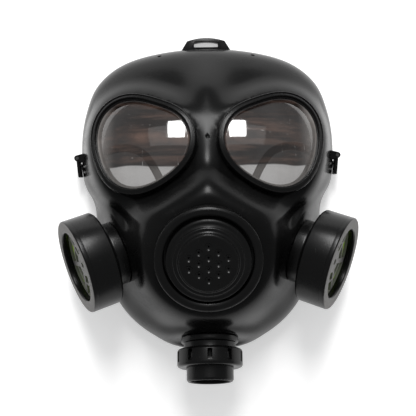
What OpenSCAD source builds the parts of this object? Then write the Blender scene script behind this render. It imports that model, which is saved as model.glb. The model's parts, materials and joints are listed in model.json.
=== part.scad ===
// Full face respirator, lying face up on its sealing rim.
// +Z points out of the face, +Y to the forehead and +X to one side. Lengths are in millimetres.
// Left is -X and right is +X. Each fitting is drawn about its own axis, with z = 0 on its seat.

/* [Face piece] */
// Width of the face piece over its rim
face_w = 189; // [184:1:194]
// Distance from the centre to the forehead edge
forehead_y = 120.5; // [118:0.5:123]
// Distance from the centre to the chin edge
chin_y = 107; // [105:1:110]
// Wall of the moulded face piece
face_wall = 2.6; // [2:0.1:3.2]
// Height of the brow over the resting plane
brow_h = 66; // [62:1:68]
// Height that the muzzle adds to the brow
muzzle_h = 18; // [14:1:22]
// Height that the nose ridge adds between the eyes
nose_h = 13; // [9:0.5:15]
// Thickness of the bosses behind the fittings
boss_t = 6; // [5:0.5:7]
// Width of the turned-in sealing lip
lip_w = 13; // [8:1:18]
// Thickness of the sealing lip
lip_t = 2.2; // [1.6:0.1:3]

/* [Top tab and side lugs] */
// Width of the top tab at its end
tab_w = 29; // [24:1:34]
// Reach of the top tab past the forehead edge
tab_reach = 8.1; // [6:0.1:10]
// Thickness of the top tab
tab_t = 3.6; // [2.6:0.2:4.6]
// Width of the strap slot in the top tab
tab_slot_w = 18; // [15:0.5:19]
// Height of the strap slot in the top tab
tab_slot_h = 4; // [3:0.1:4.6]
// Distance of the side lugs from the centre, towards the forehead
lug_y = 38; // [36:0.5:42]
// Radius of the two peg holes over the brow
peg_hole_r = 1.5; // [1:0.1:2]

/* [Eyepieces] */
// Mean radius of an eye opening
eye_r = 32.3; // [30.5:0.1:33]
// Distance of an eye centre from the middle
eye_x = 44.6; // [43:0.2:46]
// Distance of an eye centre from the centre, towards the forehead
eye_y = 44.5; // [43:0.5:46]
// Height of an eye centre
eye_z = 60; // [58:0.5:62]
// Turn of an eyepiece to its own side
eye_yaw = 18; // [14:1:20]
// Turn of an eyepiece to the forehead
eye_pitch = 12; // [9:1:14]
// Width of an eyepiece rim outside its lens opening
eye_rim_w = 4.9; // [4.4:0.1:5.6]
// Height of an eyepiece rim
eye_rim_h = 6; // [5:0.2:7]
// Thickness of a lens
lens_t = 2; // [1.6:0.1:2.6]
// Rise of a lens at its middle
lens_rise = 7.5; // [5:0.5:9]
// Thickness of the rubber under a lens
lens_gasket_t = 1.2; // [0.8:0.1:1.6]

/* [Speech unit] */
// Height of the speech unit's seat
mouth_z = 86; // [83:0.5:88]
// Outer radius of the speech housing
housing_r = 35.4; // [34:0.2:37]
// Width of the flat front of the housing
housing_band = 5.8; // [5:0.2:6.2]
// Height of the housing over its seat
housing_h = 10; // [8:0.2:11]
// Width of the groove between the housing and the speech cover
cover_groove = 1.9; // [1.2:0.1:2.6]
// Width of the lowest step of the speech cover
cover_step = 4.5; // [4:0.1:5]
// Width of the middle step of the speech cover
cover_mid_step = 4; // [3.4:0.1:4.6]
// Height of the front disc over the seat
cover_h = 16; // [15:0.2:18]
// Distance between the columns of speech holes
hole_column = 6.3; // [6:0.1:6.8]
// Distance between the speech holes of one column
hole_row = 7.4; // [7:0.1:7.8]
// Radius of the dimple round each speech hole
dimple_r = 2.4; // [2:0.1:2.7]
// Radius of each speech hole
speech_hole_r = 0.9; // [0.6:0.1:1.2]

/* [Cheek ports and canisters] */
// Distance of a port's seat from the rim's widest point
port_inset = 30.2; // [29:0.1:31]
// Height of a port's seat
port_z = 42; // [40:0.5:44]
// Outer radius of a port
port_r = 22.5; // [21.5:0.2:23.5]
// Length of a port over its seat
port_len = 9.5; // [8.6:0.1:11]
// Radius of the bore that takes the canister's spigot
port_bore_r = 15; // [14:0.2:16]
// Radius of a canister
can_r = 33.3; // [32:0.2:34.5]
// Length of a canister
can_len = 21.6; // [20:0.1:24]
// Width of the ring round a canister's front opening
can_ring_w = 8.3; // [7:0.1:10]
// Depth of a canister's front recess
can_recess = 5; // [4:0.5:8]
// Number of radial arms in a grille
grille_arms = 6; // [4:1:8]
// Clearance between parts that turn in each other
run_gap = 0.06; // [0.03:0.01:0.1]
// Turn that unlocks a canister
unlock_turn = 60; // [50:5:60]

/* [Chin outlet] */
// Height of the outlet's seat
outlet_z = 38.5; // [37:0.5:40]
// Radius of the outlet's back flange
outlet_flange_r = 20.3; // [19.6:0.1:21]
// Radius of the slotted collar
collar_r = 23.2; // [22.6:0.1:24]
// Length of the slotted collar
collar_len = 13; // [12:0.5:14]
// Number of slots round the collar
collar_slots = 10; // [6:1:12]
// Width of a collar slot
collar_slot_w = 2.7; // [2:0.1:3.4]
// Length of a collar slot
collar_slot_len = 7.6; // [6:0.2:8]
// Outer radius of the hose spigot
spigot_r = 16.6; // [16:0.1:17.4]
// Radius of the hose spigot's bore
spigot_bore_r = 14; // [12.5:0.1:14.4]
// Length of the hose spigot past the collar
spigot_len = 9.8; // [8:0.1:14]

/* [Head strap] */
// Width of the elastic head strap
strap_w = 6; // [5:0.5:8]
// Thickness of the elastic head strap
strap_t = 1.2; // [1:0.1:1.6]
// Length of a side buckle
buckle_len = 14; // [13:0.5:16]
// Thickness of a side buckle
buckle_t = 2.4; // [2:0.1:2.8]

/* [Hidden] */
LEFT = -1;
RIGHT = 1;

// Resolution of round parts, of hulls and of the moulded skin
$fn = 96;
hull_fn = 24;
skin_fn = 40;
rim_steps = 3;
skin_rings = 20;
first_ring = 0.17;

// Small amounts: a cut's overrun, a gap in an assembly and the chamfer on moulded edges
over = 1;
fit_gap = 0.1;
rest_gap = 0.3;
hole_gap = 0.5;
spot_depth = 0.05;
spot_gap = 0.8;
cut_deep = 15;
facet_turn = 2.7;
edge_r = 1;

// Rim of the face piece, from the forehead to the chin, as shares of half the width and of each height
rim_shape = [
    [0, 1], [0.37, 0.974], [0.667, 0.904], [0.868, 0.775], [0.963, 0.597], [1, 0.402], [0.985, 0.177],
    [0.9, 0.02], [0.89, -0.22], [0.825, -0.465], [0.72, -0.655], [0.6, -0.785], [0.45, -0.885],
    [0.27, -0.965], [0, -1]
];
rim_half = [for (p = rim_shape) [p.x * face_w / 2, p.y > 0 ? p.y * forehead_y : p.y * chin_y]];
rim_last = len(rim_half) - 1;
rim_ring = concat(rim_half, [for (i = [rim_last - 1:-1:1]) [-rim_half[i].x, rim_half[i].y]]);
skin_sides = len(rim_ring) * rim_steps;

// Shape of the dome
muzzle_y = -22;
muzzle_len = 40;
dome_power = 2.2;
dome_fall = 0.5;
jaw_fall = 0.22;
jaw_y = -35;
jaw_len = 35;
nose_w = 13;
brow_fade = [70, 108];
nose_fade = [-22, 12];
edge_fade = 0.965;

// Seats: centre, pitch about X, yaw about Y, flat radius and the width that blends into the dome
eye_c = [eye_x, eye_y, eye_z];
eye_blend = 11;
eye_seat_w = eye_rim_w + 1.5;
mouth_c = [0, -31.5, mouth_z];
mouth_pitch = 14;
mouth_seat_r = housing_r + 2.6;
mouth_blend = 26;
port_c = [face_w / 2 - port_inset, -30.5, port_z];
port_pitch = 17.3;
port_yaw = 67;
port_seat_r = port_r + 3.5;
port_blend = 15;
outlet_c = [0, -92.1, outlet_z];
outlet_pitch = 72;
outlet_seat_r = outlet_flange_r + 1;
outlet_blend = 17;

// Eyepiece stack, along its own axis
lens_edge = 1.5;
lens_flat = 0.92;
rim_groove = 1;
eye_hole_inset = 2;
lens_top = lens_gasket_t + lens_t;

// Speech unit stack, along its own axis
gasket_t = 1.2;
mouth_gasket_w = 4.4;
mouth_hole_r = housing_r - edge_r - mouth_gasket_w;
throat_r = mouth_hole_r - hole_gap;
throat_bore_r = throat_r - 3;
notch_w = 5;
web_t = 2;
web_top = gasket_t + web_t;
nut_t = 4;
mouth_nut_w = 5.5;
mouth_nut_r = mouth_hole_r + mouth_nut_w;
cover_r = housing_r - housing_band - cover_groove;
cover_mid_r = cover_r - cover_step;
cover_disc_r = cover_mid_r - cover_mid_step;
cover_wall = 2.2;
diaphragm_t = 0.4;
diaphragm_r = cover_r - cover_wall - rest_gap;
diaphragm_ring_w = 3;
diaphragm_gasket_t = 0.8;
step_low = housing_h + 1;
step_mid = (step_low + cover_h) / 2;
speech_columns = [2, 3, 4, 3, 2];

// Canister stack, along its own axis
valve_t = 1;
port_wall = 3;
port_nut_w = 4;
port_hole_r = port_bore_r + port_wall;
port_nut_r = port_hole_r + port_nut_w;
port_spigot_r = port_hole_r - hole_gap;
seat_ring = 2.5;
seat_t = 2;
seat_hub_r = 3.4;
spoke_w = 1.6;
stem_r = 1.2;
stem_len = 3;
port_back = -boss_t - nut_t;
can_gasket_t = 0.8;
can_back = port_len + can_gasket_t;
can_front = can_back + can_len;
can_wall = 2.2;
can_floor = 2;
can_inner_r = can_r - can_wall;
can_open_r = can_r - can_ring_w;
spigot_low = 1;
can_cap = 3.5;
spigot_wall = 2.6;
lug_reach = 1;
lug_w = 5;
lug_h = 2.4;
lug_z = 3.4;
lug_gap = 0.3;
bayonet_lugs = 3;
disc_t = 1.5;
grille_t = 2;
grille_z = can_front - can_recess - grille_t;
hub_r = 8;
hub_hole_r = 2;
arm_w = 4;
grille_rim_w = 1.5;
mid_ring_w = 2;
mid_ring_r = (can_open_r + hub_r - mid_ring_w) / 2;

// Outlet stack, along its own axis
flange_t = 4.5;
neck_len = 4;
neck_r = 18.5;
collar_z = flange_t + neck_len;
collar_end = collar_z + collar_len;
collar_wall = 2;
thread_r = collar_r - collar_wall - run_gap;
collar_lip = 2;
shoulder_t = 2.4;
shoulder_z = collar_end - collar_lip - shoulder_t - fit_gap;
outlet_gasket_t = 1;
thread_end = shoulder_z - outlet_gasket_t;
outlet_hole_r = 17;
outlet_nut_w = 3;
outlet_wall = 2.1;
outlet_nut_r = outlet_hole_r + outlet_nut_w;
outlet_spigot_r = outlet_hole_r - hole_gap;
outlet_bore_r = outlet_spigot_r - outlet_wall;
thread_z = collar_z + 1;
spigot_end = collar_end + spigot_len;
exhale_seat = 2;

// Side lugs, buckles and strap
tab_z = 1;
tab_arch = 2.2;
tab_arch_steps = 6;
peg_x = 34.5;
peg_in = 7.4;
peg_y = forehead_y - peg_in;
peg_z = 17;
peg_tilt = 50;
tab_slope = 3.6;
lug_half = 4;
lug_root = 8;
lug_low = 6;
lug_high = 20;
pin_r = 1.2;
pin_out = 1.3;
pin_x = face_w / 2 + pin_out;
buckle_tilt = 6;
buckle_bar = 3;
buckle_low = 8.4;
buckle_high = 17.6;
strap_z = 13;
strap_low = strap_t / 2 + rest_gap;

// The whole part is centred between the tab's end and the outlet's mouth
tab_end = forehead_y + tab_reach;
outlet_low = outlet_c.y - sin(outlet_pitch) * spigot_end - cos(outlet_pitch) * (spigot_r - edge_r);
y_shift = -(tab_end + outlet_low) / 2;

// ---- Maths of the moulded skin ----

function smooth(low, high, v) = let (s = min(max((v - low) / (high - low), 0), 1)) s * s * (3 - 2 * s);
function mixed(a, b, w) = a + (b - a) * w;
function bell(v, width) = exp(-pow(v / width, 2));
function unit(v) = v / norm(v);

// A smooth closed curve through a ring of points
function on_ring(ring, k) = ring[(k + len(ring)) % len(ring)];
function curve(ring, k, s) =
    let (a = on_ring(ring, k - 1), b = on_ring(ring, k), c = on_ring(ring, k + 1), d = on_ring(ring, k + 2))
    b + (c - a) * s / 2 + (2 * a - 5 * b + 4 * c - d) * s * s / 2 + (3 * b - a - 3 * c + d) * pow(s, 3) / 2;
rim_points = [
    for (k = [0:len(rim_ring) - 1])
        for (i = [0:rim_steps - 1])
            curve(rim_ring, k, i / rim_steps)
];

// Axes of a seat that is turned by its pitch and yaw
function seat_u(pitch, yaw) = [cos(yaw), 0, -sin(yaw)];
function seat_v(pitch, yaw) = [sin(pitch) * sin(yaw), cos(pitch), sin(pitch) * cos(yaw)];
function seat_n(pitch, yaw) = [cos(pitch) * sin(yaw), -sin(pitch), cos(pitch) * cos(yaw)];
function plane_z(c, n, x, y) = c.z - (n.x * (x - c.x) + n.y * (y - c.y)) / n.z;
function seat_mix(z, c, n, r, blend, x, y, keep) =
    let (plane = plane_z(c, n, x, y), away = norm([x, y, plane] - c))
    mixed(z, plane, keep * (1 - smooth(r, r + blend, away)));

// Outline of an eye opening at an angle, grown by an amount
function eye_share(a) = 1 + 0.06 * cos(2 * a - 37.5) + 0.066 * cos(3 * a - 148.5);
function eye_point(a, grow) = (eye_r * eye_share(a) + grow) * [cos(a), sin(a)];
eye_u = seat_u(-eye_pitch, eye_yaw);
eye_v = seat_v(-eye_pitch, eye_yaw);
eye_n = seat_n(-eye_pitch, eye_yaw);
function eye_mix(z, x, y, keep) =
    let (
        plane = plane_z(eye_c, eye_n, x, y),
        away = [x, y, plane] - eye_c,
        flat = [away * eye_u, away * eye_v],
        outside = norm(flat) - norm(eye_point(atan2(flat.y, flat.x), eye_seat_w))
    )
    mixed(z, plane, keep * (1 - smooth(0, eye_blend, outside)));

// Height of the outer skin at a point, where t runs from 0 in the middle to 1 on the rim
function dome_z(x, y, t) =
    (brow_h + muzzle_h * bell(y - muzzle_y, muzzle_len))
    * pow(max(1 - pow(t, dome_power), 0), dome_fall + jaw_fall * bell(y - jaw_y, jaw_len))
    + nose_h * bell(x, nose_w) * smooth(nose_fade[0], nose_fade[1], y)
    * (1 - smooth(brow_fade[0], brow_fade[1], y));
function skin_z(x, y, t) =
    let (
        side = abs(x),
        keep = 1 - smooth(edge_fade, 1, t),
        mouth = seat_mix(
            dome_z(x, y, t), mouth_c, seat_n(mouth_pitch, 0), mouth_seat_r, mouth_blend, side, y, keep),
        eye = eye_mix(mouth, side, y, keep),
        port = seat_mix(
            eye, port_c, seat_n(port_pitch, port_yaw), port_seat_r, port_blend, side, y, keep)
    )
    seat_mix(port, outlet_c, seat_n(outlet_pitch, 0), outlet_seat_r, outlet_blend, side, y, keep);

// The rings start inside the mouth's hole, and crowd together towards the rim
pole = [mouth_c.x, mouth_c.y];
function ring_share(j) =
    let (s = (j - 1) / (skin_rings - 1))
    j == 0 ? 0 : mixed(first_ring, 1, mixed(s, sin(90 * s), 0.5));
function skin_point(j, k) =
    let (t = ring_share(j), p = mixed(pole, rim_points[k], t))
    [p.x, p.y, skin_z(p.x, p.y, t)];
skin = [for (j = [0:skin_rings]) [for (k = [0:skin_sides - 1]) skin_point(j, k)]];
function skin_normal(j, k) =
    let (
        along = skin[j][(k + 1) % skin_sides] - skin[j][(k + skin_sides - 1) % skin_sides],
        out = skin[min(j + 1, skin_rings)][k] - skin[j - 1][k]
    )
    unit(cross(along, out));

// A closed solid from rings of points, from its top point to its bottom point
module ringed_solid(rings, top, bottom) {
    sides = len(rings[0]);
    last = len(rings) - 1;
    points = concat([top], [for (ring = rings) each ring], [bottom]);
    faces = [
        for (k = [0:sides - 1]) let (next = (k + 1) % sides) each concat(
            [[0, 1 + k, 1 + next]],
            [
                for (j = [0:last - 1]) let (near = 1 + j * sides, far = near + sides)
                    each 2 * k < sides
                        ? [[near + k, far + k, far + next], [near + k, far + next, near + next]]
                        : [[near + k, far + k, near + next], [near + next, far + k, far + next]]
            ],
            [[len(points) - 1, 1 + last * sides + next, 1 + last * sides + k]]
        )
    ];
    polyhedron(points, faces, convexity = 8);
}

module skin_solid() {
    ringed_solid([for (j = [1:skin_rings]) skin[j]], skin[0][0], [pole.x, pole.y, 0]);
}

module cavity_solid() {
    rings = [
        for (j = [1:skin_rings])
            [for (k = [0:2:skin_sides - 1]) skin[j][k] - face_wall * skin_normal(j, k)]
    ];
    foot_point = [pole.x, pole.y, -over - face_wall];
    foot = [for (p = rings[len(rings) - 1]) [p.x, p.y, -over - face_wall]];
    ringed_solid(concat(rings, [foot]), skin[0][0] - [0, 0, face_wall], foot_point);
}

// ---- Places ----

module on_face() {
    translate([0, y_shift, 0]) children();
}

module on_side(side) {
    on_face() mirror([side < 0 ? 1 : 0, 0, 0]) children();
}

module at_seat(c, pitch, yaw) {
    translate(c) rotate([pitch, yaw, 0]) children();
}

module at_eye() {
    at_seat(eye_c, -eye_pitch, eye_yaw) children();
}

module at_mouth() {
    at_seat(mouth_c, mouth_pitch, 0) children();
}

module at_port() {
    at_seat(port_c, port_pitch, port_yaw) children();
}

module at_outlet() {
    at_seat(outlet_c, outlet_pitch, 0) children();
}

module both_sides() {
    for (side = [0, 1]) mirror([side, 0, 0]) children();
}

// ---- Plain shapes ----

module eye_outline(grow) {
    polygon([for (a = [0:5:355]) eye_point(a, grow)]);
}

module eye_slab(grow, low, high) {
    translate([0, 0, low]) linear_extrude(high - low) eye_outline(grow);
}

module disc(r, low, high) {
    translate([0, 0, low]) cylinder(r = r, h = high - low);
}

module tube(r, bore, low, high) {
    difference() {
        disc(r, low, high);
        disc(bore, low - over, high + over);
    }
}

// A ring turned from a profile of [radius, z] points
module turned(profile) {
    rotate_extrude() polygon(profile);
}

// ---- Face piece and seal ----

// The tab's outline, arched along its end
tab_end_points = [
    for (i = [-tab_arch_steps:tab_arch_steps])
        let (share = i / tab_arch_steps)
        [-share * (tab_w / 2 - edge_r), tab_end - edge_r - tab_arch * share * share]
];

module tab_plate() {
    root = tab_w / 2 + tab_slope;
    translate([0, 0, tab_z]) linear_extrude(tab_t) offset(r = edge_r, $fn = hull_fn) polygon(concat(
        tab_end_points, [[-root, forehead_y - face_wall / 2], [root, forehead_y - face_wall / 2]]
    ));
}

module tab_slot() {
    slot_y = forehead_y + (tab_reach - tab_arch - tab_slot_h) / 2;
    share = tab_slot_w / (tab_w - 2 * edge_r);
    translate([0, 0, -over]) linear_extrude(tab_z + tab_t + 2 * over) polygon(concat(
        [for (p = tab_end_points) [p.x * share, slot_y + tab_slot_h - (tab_end - edge_r - p.y) * share / 2]],
        [[-tab_slot_w / 2, slot_y], [tab_slot_w / 2, slot_y]]
    ));
}

module side_lug() {
    for (low = [lug_low, buckle_high + fit_gap])
        hull() {
            translate([pin_x, lug_y, low])
                cylinder(r = pin_r + edge_r, h = buckle_low - lug_low - fit_gap, $fn = hull_fn);
            translate([face_w / 2 - lug_root, lug_y - lug_half, low])
                cube([edge_r, 2 * lug_half, buckle_low - lug_low - fit_gap]);
        }
}

module strap_slot() {
    play = 4 * rest_gap;
    hull() {
        for (y = [-play, play])
            translate([face_w / 2 - cut_deep, lug_y - buckle_len / 2 + y, strap_z])
                rotate([0, 90, 0]) cylinder(d = strap_w + play, h = 2 * cut_deep, $fn = hull_fn);
    }
}

// Each fitting has a flat boss behind it, a hole through it and a clean face for its nut
module fitting_boss(r) {
    rotate(facet_turn) disc(r, -boss_t - over, over);
}

module fitting_cut(hole_r, front_r, nut_r) {
    rotate(facet_turn) {
        disc(hole_r, -cut_deep, cut_deep);
        disc(front_r, -spot_depth, cut_deep);
        disc(nut_r + spot_gap, -cut_deep, -boss_t);
    }
}

module face_bosses() {
    at_mouth() fitting_boss(housing_r);
    at_outlet() fitting_boss(outlet_flange_r);
    both_sides() at_port() fitting_boss(port_r);
}

module face_cuts() {
    at_mouth() fitting_cut(mouth_hole_r, housing_r + spot_gap, mouth_nut_r);
    at_outlet() fitting_cut(outlet_hole_r, outlet_flange_r + spot_gap / 2, outlet_nut_r);
    both_sides() {
        at_port() fitting_cut(port_hole_r, port_r + spot_gap, port_nut_r);
        at_eye() {
            eye_slab(-eye_hole_inset, -cut_deep, cut_deep);
            eye_slab(eye_rim_w + spot_gap / 2, -spot_depth, cut_deep);
        }
        strap_slot();
        translate([pin_x, lug_y, 0]) cylinder(r = pin_r + fit_gap, h = lug_high + cut_deep, $fn = hull_fn);
        translate([peg_x, peg_y, peg_z]) rotate([-peg_tilt, 0, 0])
            cylinder(r = peg_hole_r, h = cut_deep, center = true);
    }
    tab_slot();
}

module face_piece($fn = skin_fn) {
    color("#19191a") on_face() difference() {
        union() {
            difference() {
                union() {
                    skin_solid();
                    both_sides() side_lug();
                }
                cavity_solid();
            }
            face_bosses();
            tab_plate();
        }
        face_cuts();
    }
}

module rim_outline(inset) {
    offset(delta = -inset) polygon(rim_points);
}

module face_seal() {
    color("#222223") on_face() intersection() {
        linear_extrude(lip_t) difference() {
            polygon(rim_points);
            rim_outline(face_wall + lip_w);
        }
        cavity_solid();
    }
}

// ---- Eyepieces ----

module lens(side) {
    shares = [0.25, 0.5, 0.72, lens_flat, 1];
    function rise(s) = s < lens_flat ? lens_rise * (1 - pow(s / lens_flat, 2)) : 0;
    function level(s, z) = [for (a = [0:10:350]) concat(s * eye_point(a, lens_edge), [z + rise(s)])];
    top = [for (s = shares) level(s, lens_top)];
    under = [for (i = [len(shares) - 1:-1:0]) level(shares[i], lens_gasket_t)];
    turned_rings = [for (ring = concat(top, under)) [for (i = [len(ring) - 1:-1:0]) ring[i]]];
    color("#cfd8d8", 0.45) on_side(side) at_eye()
        ringed_solid(turned_rings, [0, 0, lens_top + rise(0)], [0, 0, lens_gasket_t + rise(0)]);
}

module lens_gasket(side) {
    color("#141414") on_side(side) at_eye() difference() {
        eye_slab(lens_edge, 0, lens_gasket_t);
        eye_slab(-eye_hole_inset, -over, lens_gasket_t + over);
    }
}

module lens_rim(side) {
    color("#242425") on_side(side) at_eye() difference() {
        union() {
            eye_slab(eye_rim_w, 0, eye_rim_h - edge_r);
            eye_slab(eye_rim_w - edge_r, 0, eye_rim_h);
        }
        eye_slab(0, -over, eye_rim_h + over);
        eye_slab(lens_edge + fit_gap, -over, lens_top + fit_gap);
        difference() {
            eye_slab(2 * rim_groove, eye_rim_h - rim_groove, eye_rim_h + over);
            eye_slab(rim_groove, eye_rim_h - rim_groove - over, eye_rim_h + 2 * over);
        }
    }
}

// ---- Speech unit ----

module mouth_gasket() {
    color("#141414") on_face() at_mouth() tube(housing_r - edge_r, mouth_hole_r, 0, gasket_t);
}

module voice_housing() {
    inner = housing_r - housing_band;
    back = -boss_t - nut_t;
    color("#262627") on_face() at_mouth() turned([
        [throat_bore_r, back], [throat_r, back], [throat_r, gasket_t], [housing_r, gasket_t],
        [housing_r, housing_h - edge_r], [housing_r - edge_r, housing_h],
        [inner + edge_r / 2, housing_h], [inner, housing_h - edge_r / 2],
        [inner, web_top], [throat_bore_r, web_top]
    ]);
}

module mouth_nut() {
    color("#303031") on_face() at_mouth() difference() {
        disc(mouth_nut_r, -boss_t - nut_t, -boss_t);
        disc(throat_r + fit_gap, -boss_t - nut_t - over, -boss_t + over);
        for (a = [0:60:300])
            rotate(a) translate([mouth_nut_r, 0, -boss_t - nut_t])
                cube([notch_w / 2, notch_w, 2 * nut_t - over], center = true);
    }
}

module diaphragm_gasket() {
    color("#3a3a3a") on_face() at_mouth()
        translate([0, 0, web_top + diaphragm_t])
            tube(diaphragm_r, diaphragm_r - diaphragm_ring_w, 0, diaphragm_gasket_t);
}

module speech_diaphragm() {
    color("#8d8d88") on_face() at_mouth() disc(diaphragm_r, web_top, web_top + diaphragm_t);
}

module speech_hole() {
    disc(speech_hole_r, cover_h - 2 * cover_wall, cover_h + over);
    translate([0, 0, cover_h + dimple_r]) sphere(r = dimple_r * sqrt(2));
}

module speech_cover() {
    inside = cover_h - cover_wall;
    color("#1e1e1f") on_face() at_mouth() difference() {
        turned([
            [cover_r - cover_wall, web_top], [cover_r, web_top], [cover_r, step_low - edge_r / 2],
            [cover_r - edge_r / 2, step_low], [cover_mid_r, step_low], [cover_mid_r, step_mid - edge_r / 2],
            [cover_mid_r - edge_r / 2, step_mid], [cover_disc_r, step_mid],
            [cover_disc_r, cover_h - edge_r / 2], [cover_disc_r - edge_r / 2, cover_h], [0, cover_h],
            [0, inside], [cover_disc_r - cover_wall, inside],
            [cover_disc_r - cover_wall, step_mid - cover_wall],
            [cover_mid_r - cover_wall, step_mid - cover_wall],
            [cover_mid_r - cover_wall, step_low - cover_wall], [cover_r - cover_wall, step_low - cover_wall]
        ]);
        for (i = [0:len(speech_columns) - 1])
            for (j = [0:speech_columns[i] - 1])
                translate([
                    (i - (len(speech_columns) - 1) / 2) * hole_column,
                    (j - (speech_columns[i] - 1) / 2) * hole_row, 0
                ]) speech_hole();
    }
}

// ---- Cheek ports, valves and canisters ----

// A disc with windows between spokes, which a flap valve lies on
module valve_seat(r, low) {
    difference() {
        disc(r, low, low + seat_t);
        difference() {
            tube(r - seat_ring, seat_hub_r, low - over, low + seat_t + over);
            for (a = [30:60:150])
                rotate(a) translate([-r, -spoke_w / 2, low - 2 * over])
                    cube([2 * r, spoke_w, seat_t + 4 * over]);
        }
        disc(stem_r + run_gap, low - over, low + seat_t + over);
    }
}

module cheek_port(side) {
    slot_r = port_bore_r + lug_reach + lug_gap;
    color("#202021") on_side(side) at_port() {
        difference() {
            turned([
                [port_bore_r, port_back], [port_spigot_r, port_back], [port_spigot_r, 0], [port_r, 0],
                [port_r, port_len - edge_r], [port_r - edge_r, port_len], [port_bore_r, port_len]
            ]);
            disc(slot_r + hole_gap, lug_z - lug_gap, lug_z + lug_h + lug_gap);
            for (i = [0:bayonet_lugs - 1])
                rotate(i * 360 / bayonet_lugs + unlock_turn)
                    translate([0, -lug_w / 2 - lug_gap, lug_z])
                        cube([slot_r, lug_w + 2 * lug_gap, port_len]);
        }
        valve_seat(port_bore_r + hole_gap, port_back);
    }
}

module cheek_nut(side) {
    color("#303031") on_side(side) at_port()
        tube(port_nut_r, port_spigot_r + fit_gap, -boss_t - nut_t, -boss_t);
}

module inhale_valve(side) {
    color("#b9b3a4") on_side(side) at_port() {
        disc(port_bore_r - over, port_back - valve_t, port_back);
        disc(stem_r, port_back - valve_t / 2, port_back + stem_len);
    }
}

module canister_gasket(side) {
    color("#141414") on_side(side) at_port()
        tube(port_r - 2 * edge_r, port_bore_r + lug_reach + edge_r, port_len, can_back);
}

module canister_body(side) {
    spigot = port_bore_r - run_gap;
    bore = spigot - spigot_wall;
    color("#1d1d1e") on_side(side) at_port() {
        turned([
            [bore, lug_z - spigot_low], [spigot, lug_z - spigot_low], [spigot, can_back],
            [can_r - edge_r, can_back], [can_r, can_back + edge_r],
            [can_r, can_front - can_cap], [can_inner_r, can_front - can_cap],
            [can_inner_r, can_back + can_floor], [bore, can_back + can_floor]
        ]);
        for (i = [0:bayonet_lugs - 1])
            rotate(i * 360 / bayonet_lugs) translate([spigot - over, -lug_w / 2, lug_z])
                cube([over + lug_reach, lug_w, lug_h]);
    }
}

module canister_front(side) {
    inner = can_inner_r - fit_gap;
    base = grille_z + grille_t;
    color("#232324") on_side(side) at_port() turned([
        [can_open_r, base], [inner, base], [inner, can_front - can_cap], [can_r, can_front - can_cap],
        [can_r, can_front - edge_r], [can_r - edge_r, can_front], [can_open_r + edge_r / 2, can_front],
        [can_open_r, can_front - edge_r / 2]
    ]);
}

module canister_grille(side) {
    color("#6f7275") on_side(side) at_port() difference() {
        disc(can_inner_r - fit_gap, grille_z, grille_z + grille_t);
        disc(hub_hole_r, grille_z - over, grille_z + grille_t + over);
        difference() {
            tube(can_open_r - grille_rim_w, hub_r, grille_z - over, grille_z + grille_t + over);
            tube(mid_ring_r, mid_ring_r - mid_ring_w, grille_z - 2 * over, grille_z + grille_t + 2 * over);
            for (i = [0:grille_arms - 1])
                rotate(i * 360 / grille_arms) translate([0, -arm_w / 2, grille_z - 2 * over])
                    cube([can_r, arm_w, grille_t + 4 * over]);
        }
    }
}

module filter_disc(side) {
    color("#7ed321") on_side(side) at_port()
        disc(can_inner_r - fit_gap, grille_z - disc_t, grille_z);
}

module filter_media(side) {
    color("#2c2c2c") on_side(side) at_port()
        disc(can_inner_r - fit_gap, can_back + can_floor, grille_z - disc_t);
}

// ---- Chin outlet ----

module chin_port() {
    color("#262627") on_face() at_outlet() {
        turned([
            [outlet_bore_r, -boss_t - nut_t], [outlet_spigot_r, -boss_t - nut_t], [outlet_spigot_r, 0],
            [outlet_flange_r, 0], [outlet_flange_r, flange_t - edge_r / 2],
            [outlet_flange_r - edge_r / 2, flange_t], [neck_r, flange_t], [neck_r, thread_z],
            [thread_r, thread_z], [thread_r, thread_end], [outlet_bore_r, thread_end]
        ]);
        valve_seat(outlet_bore_r + hole_gap, exhale_seat - seat_t);
    }
}

module chin_nut() {
    color("#303031") on_face() at_outlet()
        tube(outlet_nut_r, outlet_spigot_r + fit_gap, -boss_t - nut_t, -boss_t);
}

module exhale_valve() {
    color("#b9b3a4") on_face() at_outlet() {
        disc(outlet_bore_r - over, exhale_seat, exhale_seat + valve_t);
        disc(stem_r, exhale_seat - stem_len, exhale_seat + valve_t / 2);
    }
}

module outlet_gasket() {
    color("#141414") on_face() at_outlet()
        tube(thread_r - hole_gap, spigot_bore_r + edge_r, thread_end, shoulder_z);
}

module outlet_tube() {
    color("#2a2a2b") on_face() at_outlet() turned([
        [spigot_bore_r, shoulder_z], [thread_r, shoulder_z], [thread_r, shoulder_z + shoulder_t],
        [spigot_r, shoulder_z + shoulder_t], [spigot_r, spigot_end - edge_r],
        [spigot_r - edge_r, spigot_end], [spigot_bore_r + edge_r / 2, spigot_end],
        [spigot_bore_r, spigot_end - edge_r / 2]
    ]);
}

module outlet_collar() {
    inner = collar_r - collar_wall;
    color("#1f1f20") on_face() at_outlet() difference() {
        turned([
            [inner, thread_z - fit_gap], [neck_r + rest_gap, thread_z - fit_gap],
            [neck_r + rest_gap, collar_z],
            [collar_r - 2 * edge_r, collar_z], [collar_r, collar_z + 2 * edge_r],
            [collar_r, collar_end - 2 * edge_r], [collar_r - 2 * edge_r, collar_end],
            [spigot_r + run_gap, collar_end], [spigot_r + run_gap, collar_end - collar_lip],
            [inner, collar_end - collar_lip]
        ]);
        for (i = [0:collar_slots - 1])
            rotate(i * 360 / collar_slots + 90)
                translate([inner - over, -collar_slot_w / 2, (collar_z + collar_end - collar_slot_len) / 2])
                    cube([collar_wall + 2 * over, collar_slot_w, collar_slot_len]);
    }
}

// ---- Buckles and head strap ----

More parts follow.
